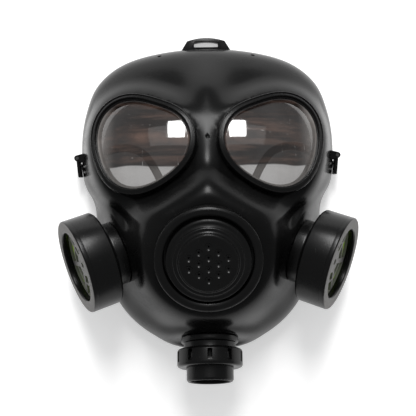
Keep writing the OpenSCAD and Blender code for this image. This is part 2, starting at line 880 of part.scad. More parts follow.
module buckle(side) {
    high = buckle_high - buckle_low;
    window = (buckle_len - (2 * pin_r + 2 * buckle_bar)) / 2;
    color("#2b2b2c") on_side(side) translate([pin_x, lug_y, buckle_low]) rotate(-buckle_tilt) difference() {
        union() {
            cylinder(r = pin_r + edge_r, h = high);
            translate([-buckle_t / 2, -buckle_len, 0]) cube([buckle_t, buckle_len, high]);
        }
        translate([0, 0, -over]) cylinder(r = pin_r + run_gap, h = high + 2 * over);
        for (i = [0, 1])
            translate([-buckle_t, -buckle_len + buckle_bar + i * (window + buckle_bar / 2), buckle_bar / 2])
                cube([2 * buckle_t, window - buckle_bar / 2, high - buckle_bar]);
    }
}

module buckle_pin(side) {
    color("#8a8a8c") on_side(side) translate([pin_x, lug_y, lug_low - rest_gap])
        cylinder(r = pin_r, h = buckle_high + buckle_low - 2 * (lug_low - rest_gap));
}

// Route of the strap from its slot to the middle, lying on the surface behind the lenses: shares of half the
// width, of the lugs' distance and of the height
strap_shape = [
    [0.942, 0.842, 0.967], [0.878, 0.974, 0.67], [0.804, 1.13, 0.29], [0.72, 1.21, 0], [0.614, 1.21, 0],
    [0.508, 1.09, 0], [0.429, 0.816, 0], [0.36, 0.474, 0], [0.275, 0.13, 0], [0.148, -0.105, 0], [0, -0.21, 0]
];
strap_end = [
    pin_x - (buckle_len + strap_w) / 2 * sin(buckle_tilt) - buckle_t / 2 - rest_gap,
    lug_y - buckle_len / 2, strap_z
];
strap_route = concat([strap_end], [
    for (p = strap_shape) [p.x * face_w / 2, p.y * lug_y, mixed(strap_low, strap_z, p.z)]
]);

module head_strap() {
    route = concat(strap_route, [for (i = [len(strap_route) - 2:-1:0])
        [-strap_route[i].x, strap_route[i].y, strap_route[i].z]]);
    last = len(route) - 1;
    color("#101010") on_face() ringed_solid(
        [
            for (i = [0:last])
                let (
                    ahead = unit(route[min(i + 1, last)] - route[max(i - 1, 0)]),
                    across = unit(cross([0, 0, 1], ahead)),
                    up = cross(ahead, across),
                    a = across * strap_w / 2,
                    b = up * strap_t / 2
                )
                [route[i] + a + b, route[i] + a - b, route[i] - a - b, route[i] - a + b]
        ],
        route[0], route[last]
    );
}

face_piece();
face_seal();
lens(LEFT);  // lens_left
lens(RIGHT);  // lens_right
lens_gasket(LEFT);  // lens_gasket_left
lens_gasket(RIGHT);  // lens_gasket_right
lens_rim(LEFT);  // lens_rim_left
lens_rim(RIGHT);  // lens_rim_right
mouth_gasket();
voice_housing();
mouth_nut();
speech_diaphragm();
diaphragm_gasket();
speech_cover();
cheek_port(LEFT);  // cheek_port_left
cheek_port(RIGHT);  // cheek_port_right
cheek_nut(LEFT);  // cheek_nut_left
cheek_nut(RIGHT);  // cheek_nut_right
inhale_valve(LEFT);  // inhale_valve_left
inhale_valve(RIGHT);  // inhale_valve_right
canister_gasket(LEFT);  // canister_gasket_left
canister_gasket(RIGHT);  // canister_gasket_right
canister_body(LEFT);  // canister_body_left
canister_body(RIGHT);  // canister_body_right
canister_front(LEFT);  // canister_front_left
canister_front(RIGHT);  // canister_front_right
canister_grille(LEFT);  // canister_grille_left
canister_grille(RIGHT);  // canister_grille_right
filter_disc(LEFT);  // filter_disc_left
filter_disc(RIGHT);  // filter_disc_right
filter_media(LEFT);  // filter_media_left
filter_media(RIGHT);  // filter_media_right
chin_port();
chin_nut();
exhale_valve();
outlet_gasket();
outlet_tube();
outlet_collar();
buckle(LEFT);  // buckle_left
buckle(RIGHT);  // buckle_right
buckle_pin(LEFT);  // buckle_pin_left
buckle_pin(RIGHT);  // buckle_pin_right
head_strap();
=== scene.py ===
"""Looks of a full face respirator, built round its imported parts.

The mask lies face up on its sealing rim. Sizes are in millimetres and angles in degrees, in the same
frame as the parts: +Z out of the face, +Y to the forehead, +X to the right. A finished mesh is placed
in metres.
"""

from __future__ import annotations

import json
import logging
import math
from collections.abc import Callable, Sequence
from dataclasses import dataclass, field
from enum import Enum
from typing import Any

import bmesh
import bpy
from mathutils import Matrix, Vector

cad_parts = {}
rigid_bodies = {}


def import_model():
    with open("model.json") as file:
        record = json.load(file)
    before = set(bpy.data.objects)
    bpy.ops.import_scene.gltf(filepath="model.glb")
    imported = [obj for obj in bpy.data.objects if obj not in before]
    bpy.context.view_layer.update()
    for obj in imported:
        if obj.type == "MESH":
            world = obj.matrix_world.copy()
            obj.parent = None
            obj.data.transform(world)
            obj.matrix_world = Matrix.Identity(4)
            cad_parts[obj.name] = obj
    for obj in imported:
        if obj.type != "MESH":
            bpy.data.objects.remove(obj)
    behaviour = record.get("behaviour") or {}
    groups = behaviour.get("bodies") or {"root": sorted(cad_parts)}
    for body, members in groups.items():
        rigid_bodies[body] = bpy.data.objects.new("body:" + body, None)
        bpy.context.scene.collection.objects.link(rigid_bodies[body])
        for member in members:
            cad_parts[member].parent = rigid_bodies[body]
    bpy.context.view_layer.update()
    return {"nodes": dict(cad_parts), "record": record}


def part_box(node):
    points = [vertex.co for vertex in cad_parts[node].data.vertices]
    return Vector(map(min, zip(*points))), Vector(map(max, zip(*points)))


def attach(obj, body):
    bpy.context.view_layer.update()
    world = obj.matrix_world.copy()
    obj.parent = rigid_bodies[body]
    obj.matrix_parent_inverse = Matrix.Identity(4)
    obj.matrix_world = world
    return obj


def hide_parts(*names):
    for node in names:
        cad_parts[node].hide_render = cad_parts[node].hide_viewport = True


LOG = logging.getLogger("respirator")
MM = 0.001

Point = tuple[float, float]
Spot = tuple[float, float, float]
Colour = tuple[float, float, float, float]
Shape = bmesh.types.BMesh


class Side(Enum):
    """Which side of the mask a piece is on, as the mask lies face up."""

    LEFT = -1
    RIGHT = 1

    @property
    def word(self) -> str:
        """The ending of the side's part names."""
        return self.name.lower()

    @property
    def flip(self) -> Matrix:
        """The mirror that puts a right-hand shape on this side."""
        return Matrix.Scale(self.value, 4, (1, 0, 0))


class Carve(Enum):
    """How a shape changes the one that it is carved with."""

    JOIN = "UNION"
    CUT = "DIFFERENCE"


Step = tuple[Carve, Shape]


# --- Materials ---


class Signal:
    """A shader value that Python sums can be written with."""

    def __init__(self, graph: Graph, socket: bpy.types.NodeSocket) -> None:
        """Wraps an output socket of a graph."""
        self.graph = graph
        self.socket = socket

    def __add__(self, other: Signal | float) -> Signal:
        """The sum of both."""
        return self.graph.maths("ADD", self, other)

    __radd__ = __add__

    def __sub__(self, other: Signal | float) -> Signal:
        """This less the other."""
        return self.graph.maths("SUBTRACT", self, other)

    def __rsub__(self, other: Signal | float) -> Signal:
        """The other less this."""
        return self.graph.maths("SUBTRACT", other, self)

    def __mul__(self, other: Signal | float) -> Signal:
        """The product of both."""
        return self.graph.maths("MULTIPLY", self, other)

    __rmul__ = __mul__

    def between(self, low: float, high: float) -> Signal:
        """A smooth step of this value.

        Args:
            low: Where the step starts from 0.
            high: Where the step reaches 1.

        Returns:
            The step, from 0 to 1.
        """
        return self.graph.node(
            "ShaderNodeMapRange",
            {"interpolation_type": "SMOOTHSTEP"},
            {"Value": self, "From Min": low, "From Max": high},
        )


class Graph:
    """The node graph of one material."""

    def __init__(self, name: str) -> None:
        """Makes an empty material.

        Args:
            name: The material's name.
        """
        self.material = bpy.data.materials.new(name)
        self.material.use_nodes = True
        self.tree = self.material.node_tree
        self.tree.nodes.clear()

    def node(
        self,
        kind: str,
        settings: dict[str, Any] | None = None,
        inputs: dict[str | int, Any] | None = None,
        output: str | int = 0,
    ) -> Signal:
        """Adds a node.

        Args:
            kind: The node's type.
            settings: Its own settings, such as a Math node's operation.
            inputs: What each named socket is set to or linked from.
            output: The socket that the result comes from.

        Returns:
            The chosen output.
        """
        made = self.tree.nodes.new(kind)
        for key, value in (settings or {}).items():
            setattr(made, key, value)
        for key, value in (inputs or {}).items():
            if isinstance(value, Signal):
                self.tree.links.new(value.socket, made.inputs[key])
            else:
                made.inputs[key].default_value = value
        return Signal(self, made.outputs[output])

    def maths(self, operation: str, first: Signal | float, second: Signal | float) -> Signal:
        """Adds a Math node for two values."""
        return self.node("ShaderNodeMath", {"operation": operation}, {0: first, 1: second})

    def place(self, stretch: Spot = (1.0, 1.0, 1.0), turn: Spot = (0.0, 0.0, 0.0)) -> Signal:
        """Object coordinates in metres, turned by radians and then stretched."""
        spot = self.node("ShaderNodeTexCoord", output="Object")
        return self.node("ShaderNodeMapping", None, {"Vector": spot, "Rotation": turn, "Scale": stretch})

    def noise(
        self, scale: float, detail: float = 3.0, rough: float = 0.5, where: Signal | None = None
    ) -> Signal:
        """Adds a noise pattern.

        Args:
            scale: How many features there are in a metre.
            detail: How many finer levels it has.
            rough: How strong the finer levels are.
            where: The coordinates, or the object's own.

        Returns:
            The noise, from 0 to 1.
        """
        return self.node(
            "ShaderNodeTexNoise",
            None,
            {"Vector": where or self.place(), "Scale": scale, "Detail": detail, "Roughness": rough},
        )

    def mix(self, share: Signal, first: Signal | Sequence[float], second: Signal | Sequence[float]) -> Signal:
        """Mixes two colours by the share of the second."""
        return self.node("ShaderNodeMix", {"data_type": "RGBA"}, {0: share, 6: first, 7: second}, 2)

    def bump(self, height: Signal, depth: float) -> Signal:
        """Turns a height from 0 to 1 into a bumped normal, with the depth in metres."""
        inputs = {"Height": height, "Distance": depth, "Strength": 1.0}
        return self.node("ShaderNodeBump", None, inputs, "Normal")

    def surface(self, **inputs: Any) -> bpy.types.Material:
        """Ends the graph in a Principled shader.

        Args:
            **inputs: The shader's inputs, with _ for each space in a name.

        Returns:
            The finished material.
        """
        named = {key.replace("_", " "): value for key, value in inputs.items()}
        shader = self.node("ShaderNodeBsdfPrincipled", None, named)
        self.node_out(shader)
        return self.material

    def node_out(self, shader: Signal) -> None:
        """Links a shader to the material's output."""
        out = self.tree.nodes.new("ShaderNodeOutputMaterial")
        self.tree.links.new(shader.socket, out.inputs["Surface"])


def grey(level: float, warm: float = 0.0) -> Colour:
    """A grey that leans to a warm tone, or to a cool one below 0."""
    return (level * (1 + warm), level, level * (1 - warm), 1.0)


@dataclass(frozen=True)
class RubberFinish:
    """Moulded black rubber with a soft sheen, faint bloom and dust."""

    name: str = "face_rubber"
    dark: float = 0.0025
    bloom: float = 0.0055
    sheen: float = 0.26
    spread: float = 0.07
    grain: float = 0.00004

    def make(self) -> bpy.types.Material:
        """Builds the material."""
        g = Graph(self.name)
        cloud = g.noise(16.0, 4.0, 0.55).between(0.35, 0.7)
        streak = g.noise(30.0, 5.0, 0.6, g.place((1.0, 2.6, 1.0), (0.3, 0.2, 0.6))).between(0.45, 0.75)
        dust = g.noise(900.0, 2.0, 0.6).between(0.70, 0.80) * streak
        fine = g.noise(1500.0, 3.0, 0.6)
        wave = g.noise(60.0, 2.0, 0.5)
        body = g.mix(cloud, grey(self.dark, -0.01), grey(self.bloom, 0.0))
        return g.surface(
            Base_Color=g.mix(dust, body, grey(0.06, 0.02)),
            Roughness=self.sheen + self.spread * streak - 0.04 * cloud,
            Specular_IOR_Level=0.13,
            Normal=g.bump(fine * 0.35 + wave * 2.2, self.grain),
        )


@dataclass(frozen=True)
class MouldedFinish:
    """Hard moulded plastic with a fine grain, scuffs and lighter handling marks."""

    name: str
    tone: float = 0.01
    scuff_tone: float = 0.03
    warm: float = 0.0
    gloss: float = 0.25
    scuffs: float = 0.2
    grain: float = 0.00003
    specular: float = 0.2

    def make(self) -> bpy.types.Material:
        """Builds the material."""
        g = Graph(self.name)
        cloud = g.noise(35.0, 4.0, 0.6).between(0.4, 0.75)
        scratch = g.noise(700.0, 4.0, 0.7, g.place((1.0, 0.12, 1.0), (0.5, 0.4, 0.9))).between(0.62, 0.74)
        specks = g.noise(1300.0, 2.0, 0.5).between(0.74, 0.80)
        body = g.mix(cloud, grey(self.tone, self.warm), grey(self.tone * 1.6, self.warm))
        worn = g.mix(scratch * cloud * self.scuffs * 4.0, body, grey(self.scuff_tone, self.warm))
        return g.surface(
            Base_Color=g.mix(specks * 0.5, worn, grey(self.scuff_tone * 2.0, self.warm)),
            Roughness=self.gloss + 0.06 * cloud + 0.1 * scratch,
            Specular_IOR_Level=self.specular,
            Normal=g.bump(g.noise(2200.0, 2.0, 0.5) + scratch * 0.7, self.grain),
        )


@dataclass(frozen=True)
class LensFinish:
    """Moulded eyepiece with painted reflections: the dark brownish film above is painted room reflection and
    painted shade of the mask's inside, with painted brown reflection streaks; nearly clear below with a pale
    tint; a pale painted floor reflection at its flank; fine scratches.
    """

    name: str = "eyepiece_clear"
    # The film colour is painted shade and painted room reflection, the streak colour is painted reflection,
    # and the pale colour is a pale tint below and a painted floor reflection at the flank.
    film: Colour = (0.012, 0.009, 0.008, 1.0)
    reflection_streaks: Colour = (0.12, 0.072, 0.055, 1.0)
    pale_tint_and_reflection: Colour = (0.32, 0.30, 0.285, 1.0)
    reflection_y: float = 0.0275
    reflection_band_y: float = 0.046
    flank_x: float = 0.071

    def make(self) -> bpy.types.Material:
        """Builds the material."""
        g = Graph(self.name)
        spot = g.place()
        across = g.maths("ABSOLUTE", g.node("ShaderNodeSeparateXYZ", None, {"Vector": spot}, "X"), 0.0)
        waver = g.noise(30.0, 2.0, 0.5) * 0.004
        up = g.node("ShaderNodeSeparateXYZ", None, {"Vector": spot}, "Y") + waver - 0.002
        # upper: above this height the lens carries the dark painted room reflection and painted shade.
        upper = up.between(self.reflection_y - 0.0008, self.reflection_y + 0.0008)
        # flank: where the pale painted reflection of the floor lies.
        flank = across.between(self.flank_x - 0.009, self.flank_x + 0.006)
        # streak: brown painted reflection streaks in the upper part.
        streak = g.noise(60.0, 5.0, 0.62, g.place((0.35, 3.4, 1.0), (0.0, 0.0, 0.04))).between(0.42, 0.72)
        patch = g.noise(34.0, 3.0, 0.55).between(0.35, 0.7)
        # band: a strip of painted reflection streaks across the upper part.
        band = 1.0 - g.maths("ABSOLUTE", up - self.reflection_band_y, 0.0).between(0.0012, 0.0075)
        hair = g.noise(420.0, 6.0, 0.75, g.place((0.1, 1.0, 1.0), (0.0, 0.0, 0.7))).between(0.66, 0.72)
        cross = g.noise(420.0, 6.0, 0.75, g.place((1.0, 0.1, 1.0), (0.0, 0.0, 0.5))).between(0.66, 0.72)
        marks = g.maths("MAXIMUM", hair, cross)
        # film: painted room reflection and painted shade, with painted reflection streaks.
        film = g.mix(g.maths("MAXIMUM", streak * 0.55, band * patch), self.film, self.reflection_streaks)
        # body: painted reflection and shade above, a pale tint below, a pale painted floor reflection at the
        # flank.
        body = g.mix(flank * (0.55 + 0.45 * patch), g.mix(upper, self.pale_tint_and_reflection, film), self.pale_tint_and_reflection)
        # cover: the painted reflection and shade are nearly opaque above and at the flank.
        cover = g.maths("MAXIMUM", upper * (0.78 + 0.12 * patch), flank * 0.8)
        return g.surface(
            Base_Color=g.mix(marks * 0.55, body, grey(0.5, 0.02)),
            Roughness=0.06 + 0.08 * streak + 0.2 * marks,
            IOR=1.45,
            Specular_IOR_Level=0.5,
            Alpha=g.maths("MAXIMUM", cover, 0.22 + 0.14 * patch + 0.4 * marks),
            Coat_Weight=1.0,
            Coat_IOR=1.55,
            Coat_Roughness=0.02,
        )


@dataclass(frozen=True)
class FeltFinish:
    """Bright felt or packed grains."""

    name: str
    light: Colour
    shade: Colour
    scale: float = 1500.0

    def make(self) -> bpy.types.Material:
        """Builds the material."""
        g = Graph(self.name)
        fibre = g.noise(self.scale, 4.0, 0.7, g.place((1.0, 0.4, 1.0)))
        patch = g.noise(120.0, 3.0, 0.5).between(0.35, 0.7)
        return g.surface(
            Base_Color=g.mix(fibre.between(0.35, 0.65) * 0.6 + patch * 0.3, self.light, self.shade),
            Roughness=0.85 + 0.1 * fibre,
            Normal=g.bump(fibre, 0.00025),
        )


@dataclass(frozen=True)
class SteelFinish:
    """Blackened steel wire."""

    name: str = "pin_steel"

    def make(self) -> bpy.types.Material:
        """Builds the material."""
        g = Graph(self.name)
        drawn = g.noise(900.0, 3.0, 0.6, g.place((1.0, 1.0, 0.06)))
        return g.surface(
            Base_Color=g.mix(drawn, grey(0.05, 0.01), grey(0.12, 0.01)),
            Metallic=1.0,
            Roughness=0.28 + 0.2 * drawn,
            Normal=g.bump(drawn, 0.00001),
        )


@dataclass(frozen=True)
class WebbingFinish:
    """Woven elastic, with its pattern on the strap's own UV map."""

    name: str = "strap_webbing"
    picks: float = 1.1
    ribs: float = 9.0

    def make(self) -> bpy.types.Material:
        """Builds the material."""
        g = Graph(self.name)
        spot = g.node("ShaderNodeUVMap", {"uv_map": "weave"}, output="UV")
        along = g.node("ShaderNodeSeparateXYZ", None, {"Vector": spot}, "X")
        across = g.node("ShaderNodeSeparateXYZ", None, {"Vector": spot}, "Y")
        rib = g.maths("SINE", across * (self.ribs * 2 * math.pi), 0.0) * 0.5 + 0.5
        pick = g.maths("SINE", along * (self.picks * 2 * math.pi), 0.0) * 0.5 + 0.5
        weave = rib * 0.6 + rib * pick * 0.4
        fuzz = g.noise(2400.0, 3.0, 0.7)
        return g.surface(
            Base_Color=g.mix(weave * 0.7 + fuzz * 0.3, grey(0.008), grey(0.035, -0.01)),
            Roughness=0.8 + 0.15 * fuzz,
            Normal=g.bump(weave + fuzz * 0.3, 0.00022),
        )


@dataclass(frozen=True)
class SoftFinish:
    """Thin silicone or film, slightly cloudy."""

    name: str
    tone: Colour
    gloss: float = 0.4

    def make(self) -> bpy.types.Material:
        """Builds the material."""
        g = Graph(self.name)
        cloud = g.noise(90.0, 4.0, 0.6).between(0.3, 0.7)
        deeper = tuple(0.8 * c for c in self.tone[:3]) + (1.0,)
        return g.surface(
            Base_Color=g.mix(cloud, self.tone, deeper),
            Roughness=self.gloss + 0.15 * cloud,
            Normal=g.bump(g.noise(1800.0, 2.0, 0.5), 0.00002),
        )


@dataclass
class Finishes:
    """Every material of the mask by the record's slot, and the canister front's own."""

    made: dict[str, bpy.types.Material] = field(default_factory=dict)

    def build(self) -> None:
        """Makes the materials once."""
        recipes: dict[str, Any] = {
            "rubber_black": RubberFinish(),
            "gasket_black": MouldedFinish("gasket_rubber", 0.008, 0.02, gloss=0.6, specular=0.2),
            "plastic_black": MouldedFinish("hard_plastic", 0.0025, 0.02),
            "plastic_dark": MouldedFinish("ring_nut_plastic", 0.02, 0.05, gloss=0.45),
            "lens_clear": LensFinish(),
            "grille_grey": MouldedFinish("grille_plastic", 0.17, 0.25, 0.03, gloss=0.42),
            "filter_green": FeltFinish("filter_felt", (0.55, 0.86, 0.04, 1.0), (0.36, 0.66, 0.03, 1.0)),
            "filter_charcoal": FeltFinish("charcoal", grey(0.02), grey(0.06), 900.0),
            "valve_rubber": SoftFinish("valve_silicone", (0.45, 0.42, 0.36, 1.0)),
            "diaphragm_film": SoftFinish("diaphragm_film", (0.5, 0.5, 0.47, 1.0), 0.25),
            "pin_steel": SteelFinish(),
            "strap_elastic": WebbingFinish(),
            "front_grey": MouldedFinish("canister_front_plastic", 0.13, 0.22, 0.04, gloss=0.5),
        }
        for slot, recipe in recipes.items():
            self.made[slot] = recipe.make()

    def __getitem__(self, slot: str) -> bpy.types.Material:
        """The material of a slot."""
        return self.made[slot]


# --- Shapes ---


def blended(low: float, high: float, value: float) -> float:
    """A smooth step from 0 at the low value to 1 at the high one."""
    share = min(max((value - low) / (high - low), 0.0), 1.0)
    return share * share * (3 - 2 * share)


def bell(value: float, width: float) -> float:
    """A bell curve of height 1 and the half width."""
    return math.exp(-((value / width) ** 2))


def rounded(corners: Sequence[Point], radius: float, steps: int = 3, closed: bool = True) -> list[Point]:
    """Rounds the corners of a profile.

    Args:
        corners: The profile's corners.
        radius: The most that each corner is cut back.
        steps: How many edges each rounded corner has.
        closed: Whether the last corner joins the first.

    Returns:
        The rounded profile.
    """
    count = len(corners)
    out: list[Point] = []
    for i, corner in enumerate(corners):
        if not closed and i in (0, count - 1):
            out.append(corner)
            continue
        here = Vector(corner)
        before, after = Vector(corners[i - 1]) - here, Vector(corners[(i + 1) % count]) - here
        cut = min(radius, 0.45 * before.length, 0.45 * after.length)
        start, end = here + before.normalized() * cut, here + after.normalized() * cut
        for step in range(steps + 1):
            s = step / steps
            spot = start * (1 - s) ** 2 + here * (2 * s * (1 - s)) + end * s * s
            out.append((spot.x, spot.y))
    return out


def smooth_line(spots: Sequence[Vector], steps: int, closed: bool) -> list[Vector]:
    """A smooth line through some points.

    Args:
        spots: The points.
        steps: How many steps each stretch has.
        closed: Whether the last point joins the first.

    Returns:
        The line's points.
    """
    last = len(spots) - 1
    out = []
    for k in range(last + closed):
        near = [k + i for i in (-1, 0, 1, 2)]
        near = [i % len(spots) for i in near] if closed else [min(max(i, 0), last) for i in near]
        a, b, c, d = (spots[i] for i in near)
        for i in range(steps):
            s = i / steps
            out.append(
                b
                + (c - a) * (s / 2)
                + (2 * a - 5 * b + 4 * c - d) * (s * s / 2)
                + (3 * b - a - 3 * c + d) * (s**3 / 2)
            )
    return out if closed else [*out, spots[last]]


def spun(profile: Sequence[Point], steps: int = 160, closed: bool = True) -> Shape:
    """Turns a profile of radius and height about the z axis.

    Args:
        profile: The profile's points.
        steps: How many steps go round.
        closed: Whether the profile joins up, or ends on the axis.

    Returns:
        The turned shape.
    """
    bm = bmesh.new()
    verts = [bm.verts.new((r, 0.0, z)) for r, z in profile]
    pairs = list(zip(verts, verts[1:])) + ([(verts[-1], verts[0])] if closed else [])
    edges = [bm.edges.new(pair) for pair in pairs]
    bmesh.ops.spin(
        bm, geom=verts + edges, cent=(0, 0, 0), axis=(0, 0, 1), angle=2 * math.pi, steps=steps, use_merge=True
    )
    bmesh.ops.remove_doubles(bm, verts=bm.verts, dist=1e-4)
    bmesh.ops.recalc_face_normals(bm, faces=bm.faces)
    return bm


def grown(bm: Shape, loop: list[Any]) -> tuple[list[Any], list[Any]]:
    """Extrudes a loop of edges.

    Args:
        bm: The shape.
        loop: The loop's edges.

    Returns:
        The new corners and the new edges.
    """
    made = bmesh.ops.extrude_edge_only(bm, edges=loop)["geom"]
    ring = [g for g in made if isinstance(g, bmesh.types.BMVert)]
    return ring, [g for g in made if isinstance(g, bmesh.types.BMEdge)]


def carried(
    profile: Sequence[Point], reach: Callable[[float, float], float], steps: int = 144, capped: bool = False
) -> Shape:
    """Carries a profile round an outline.

    Args:
        profile: Points of an outline's key and a height.
        reach: The distance from the middle at an angle and a key.
        steps: How many steps go round.
        capped: Whether both ends of the profile close in the middle, or it joins up.

    Returns:
        The shape.
    """
    bm = bmesh.new()
    bmesh.ops.create_circle(bm, cap_ends=False, segments=steps, radius=1.0)
    ring, loop = list(bm.verts), list(bm.edges)
    first = list(loop)
    for i, (key, z) in enumerate(profile):
        if i:
            ring, loop = grown(bm, loop)
        for v in ring:
            angle = math.atan2(v.co.y, v.co.x)
            r = reach(angle, key)
            v.co = (r * math.cos(angle), r * math.sin(angle), z)
    if capped:
        for rim in (first, loop):
            bmesh.ops.edgeloop_fill(bm, edges=rim)
    else:
        bmesh.ops.bridge_loops(bm, edges=first + loop)
    bmesh.ops.recalc_face_normals(bm, faces=bm.faces)
    return bm


def block(size: Sequence[float], middle: Sequence[float], edge: float = 0.0) -> Shape:
    """A bevelled block.

    Args:
        size: Its three sizes.
        middle: Its middle.
        edge: The width of its bevels.

    Returns:
        The block.
    """
    bm = bmesh.new()
    bmesh.ops.create_cube(bm, size=1.0, matrix=Matrix.Translation(middle) @ Matrix.Diagonal((*size, 1.0)))
    if edge:
        bmesh.ops.bevel(bm, geom=bm.edges, offset=edge, segments=3, profile=0.5, affect="EDGES", material=-1)
    return bm


def rod(radius: float, low: float, high: float, steps: int = 96) -> Shape:
    """A round rod along z from its low end to its high end."""
    return spun([(0.0, low), (radius, low), (radius, high), (0.0, high)], steps, closed=False)


def hulled(spots: Sequence[Sequence[float]]) -> Shape:
    """The convex hull of some points.

    Args:
        spots: The points.

    Returns:
        The hull.
    """
    bm = bmesh.new()
    verts = [bm.verts.new(spot) for spot in spots]
    made = bmesh.ops.convex_hull(bm, input=verts)
    inner = [g for g in made["geom_interior"] if isinstance(g, bmesh.types.BMVert)]
    bmesh.ops.delete(bm, geom=inner, context="VERTS")
    bmesh.ops.dissolve_limit(bm, angle_limit=0.01, verts=bm.verts, edges=bm.edges)
    return bm


def added(target: Shape, *others: Shape) -> Shape:
    """Adds shapes to a shape, side by side in one mesh.

    Args:
        target: The shape that takes the others in.
        *others: The shapes, which are used up.

    Returns:
        The target.
    """
    for other in others:
        mesh = bpy.data.meshes.new("part")
        other.to_mesh(mesh)
        other.free()
        target.from_mesh(mesh)
        bpy.data.meshes.remove(mesh)
    return target


def moved(bm: Shape, where: Matrix) -> Shape:
    """Moves a shape.

    Args:
        bm: The shape.
        where: The matrix that moves it.

    Returns:
        The shape.
    """
    bm.transform(where)
    if where.determinant() < 0:
        bmesh.ops.reverse_faces(bm, faces=bm.faces)
    return bm


def turned(bm: Shape, angle: float) -> Shape:
    """Turns a shape about z by an angle in degrees."""
    return moved(bm, Matrix.Rotation(math.radians(angle), 4, "Z"))


@dataclass(frozen=True)
class Seat:
    """Where a fitting sits on the face: its centre, and its turns about X and then Y."""

    centre: Spot
    pitch: float = 0.0
    yaw: float = 0.0

    def matrix(self) -> Matrix:
        """From the fitting's own axes to the mask's."""
        yaw, pitch = math.radians(self.yaw), math.radians(self.pitch)
        turn = Matrix.Rotation(yaw, 4, "Y") @ Matrix.Rotation(pitch, 4, "X")
        return Matrix.Translation(self.centre) @ turn

    def normal(self) -> Vector:
        """The direction out of the seat."""
        return (self.matrix().to_3x3() @ Vector((0, 0, 1))).normalized()

    def height(self, x: float, y: float) -> float:
        """The height of the seat's plane over a point of the mask."""
        n, c = self.normal(), self.centre
        return c[2] - (n.x * (x - c[0]) + n.y * (y - c[1])) / n.z


@dataclass
class Bench:
    """Places finished shapes in the row frame, dresses them and gives them to their bodies."""

    finishes: Finishes
    shift: float

    def spot(self, seat: Seat | None = None, side: Side = Side.RIGHT) -> Matrix:
        """From a fitting's own axes in millimetres to the row frame in metres."""
        own = seat.matrix() if seat else Matrix.Identity(4)
        return Matrix.Scale(MM, 4) @ Matrix.Translation((0, self.shift, 0)) @ side.flip @ own

    @staticmethod
    def loose(bm: Shape, name: str = "tool") -> bpy.types.Object:
        """Makes an object of a shape, for cutting with.

        Args:
            bm: The shape, which is used up.
            name: The object's name.

        Returns:
            The object.
        """
        mesh = bpy.data.meshes.new(name)
        bm.to_mesh(mesh)
        bm.free()
        made = bpy.data.objects.new(name, mesh)
        bpy.context.scene.collection.objects.link(made)
        return made

    @staticmethod
    def baked(made: bpy.types.Object, *tools: bpy.types.Object) -> Shape:
        """Applies an object's modifiers and clears it away.

        Args:
            made: The object.
            *tools: The objects that its modifiers use, which are cleared away too.

        Returns:
            Its shape.
        """
        graph = bpy.context.evaluated_depsgraph_get()
        mesh = bpy.data.meshes.new_from_object(made.evaluated_get(graph))
        out = bmesh.new()
        out.from_mesh(mesh)
        bpy.data.meshes.remove(mesh)
        for used in (made, *tools):
            data = used.data
            bpy.data.objects.remove(used)
            bpy.data.meshes.remove(data)
        return out

    def carved(self, base: Shape, *steps: Step) -> Shape:
        """Cuts and joins shapes.

        Args:
            base: The shape that is worked on, which is used up.
            *steps: How each shape is carved with, and the shape, which is used up.

        Returns:
            The result.
        """
        worked = self.loose(base, "worked")
        tools = []
        for kind, shape in steps:
            tool = self.loose(shape)
            change = worked.modifiers.new("step", "BOOLEAN")
            change.operation, change.solver, change.object = kind.value, "MANIFOLD", tool
            tools.append(tool)
        return self.baked(worked, *tools)

    def piece(
        self,
        bm: Shape,
        name: str,
        where: Matrix,
        slot: str,
        body: str = "mask",
        nodes: Sequence[str] = (),
        crease: float = 38.0,
        weld: bool = True,
    ) -> bpy.types.Object:
        """Finishes a piece: places its mesh, shades it, dresses it and lets it ride.

        Args:
            bm: The shape in its own axes, which is used up.
            name: The piece's name.
            where: The matrix to the row frame.
            slot: The record's material slot.
            body: The body that it rides on.
            nodes: The parts that it stands for.
            crease: The angle past which an edge stays sharp.
            weld: Whether doubles are merged and the faces turned out.

        Returns:
            The piece.
        """
        moved(bm, where)
        if weld:
            bmesh.ops.remove_doubles(bm, verts=bm.verts, dist=2e-6)
            bmesh.ops.recalc_face_normals(bm, faces=bm.faces)
        made = self.loose(bm, name)
        made.data.shade_smooth()
        made.data.set_sharp_from_angle(angle=math.radians(crease))
        made.data.materials.append(self.finishes[slot])
        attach(made, body)
        if nodes:
            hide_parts(*nodes)
        LOG.info("%s: %d faces on %s", name, len(made.data.polygons), body)
        return made


# --- Seats ---

FACE_W = 189.0
FOREHEAD_Y = 120.5
CHIN_Y = 107.0
TAB_END = FOREHEAD_Y + 8.1
LUG_Y = 38.0
PIN_X = FACE_W / 2 + 1.3
EYE_SEAT = Seat((44.6, 44.5, 60.0), -12.0, 18.0)
MOUTH_SEAT = Seat((0.0, -31.5, 86.0), 14.0)
PORT_SEAT = Seat((FACE_W / 2 - 30.2, -30.5, 42.0), 17.3, 67.0)
OUTLET_SEAT = Seat((0.0, -92.1, 38.5), 72.0)
EYE_R = 32.3
EYE_RIM_W = 4.9
BOSS_T = 6.0
NUT_T = 4.0
PORT_BACK = -BOSS_T - NUT_T
FIT = 0.06
STEM_HOLE_R = 1.26


def eye_share(angle: float) -> float:
    """The eye opening's radius at an angle, as a share of its mean.

    Args:
        angle: The angle, in radians.

    Returns:
        The share.
    """
    oval = 0.06 * math.cos(2 * angle - math.radians(37.5))
    corners_out = 0.066 * math.cos(3 * angle - math.radians(148.5))
    return 1 + oval + corners_out


def eye_reach(angle: float, grow: float) -> float:
    """The radius of the grown eye opening at an angle in radians."""
    return EYE_R * eye_share(angle) + grow


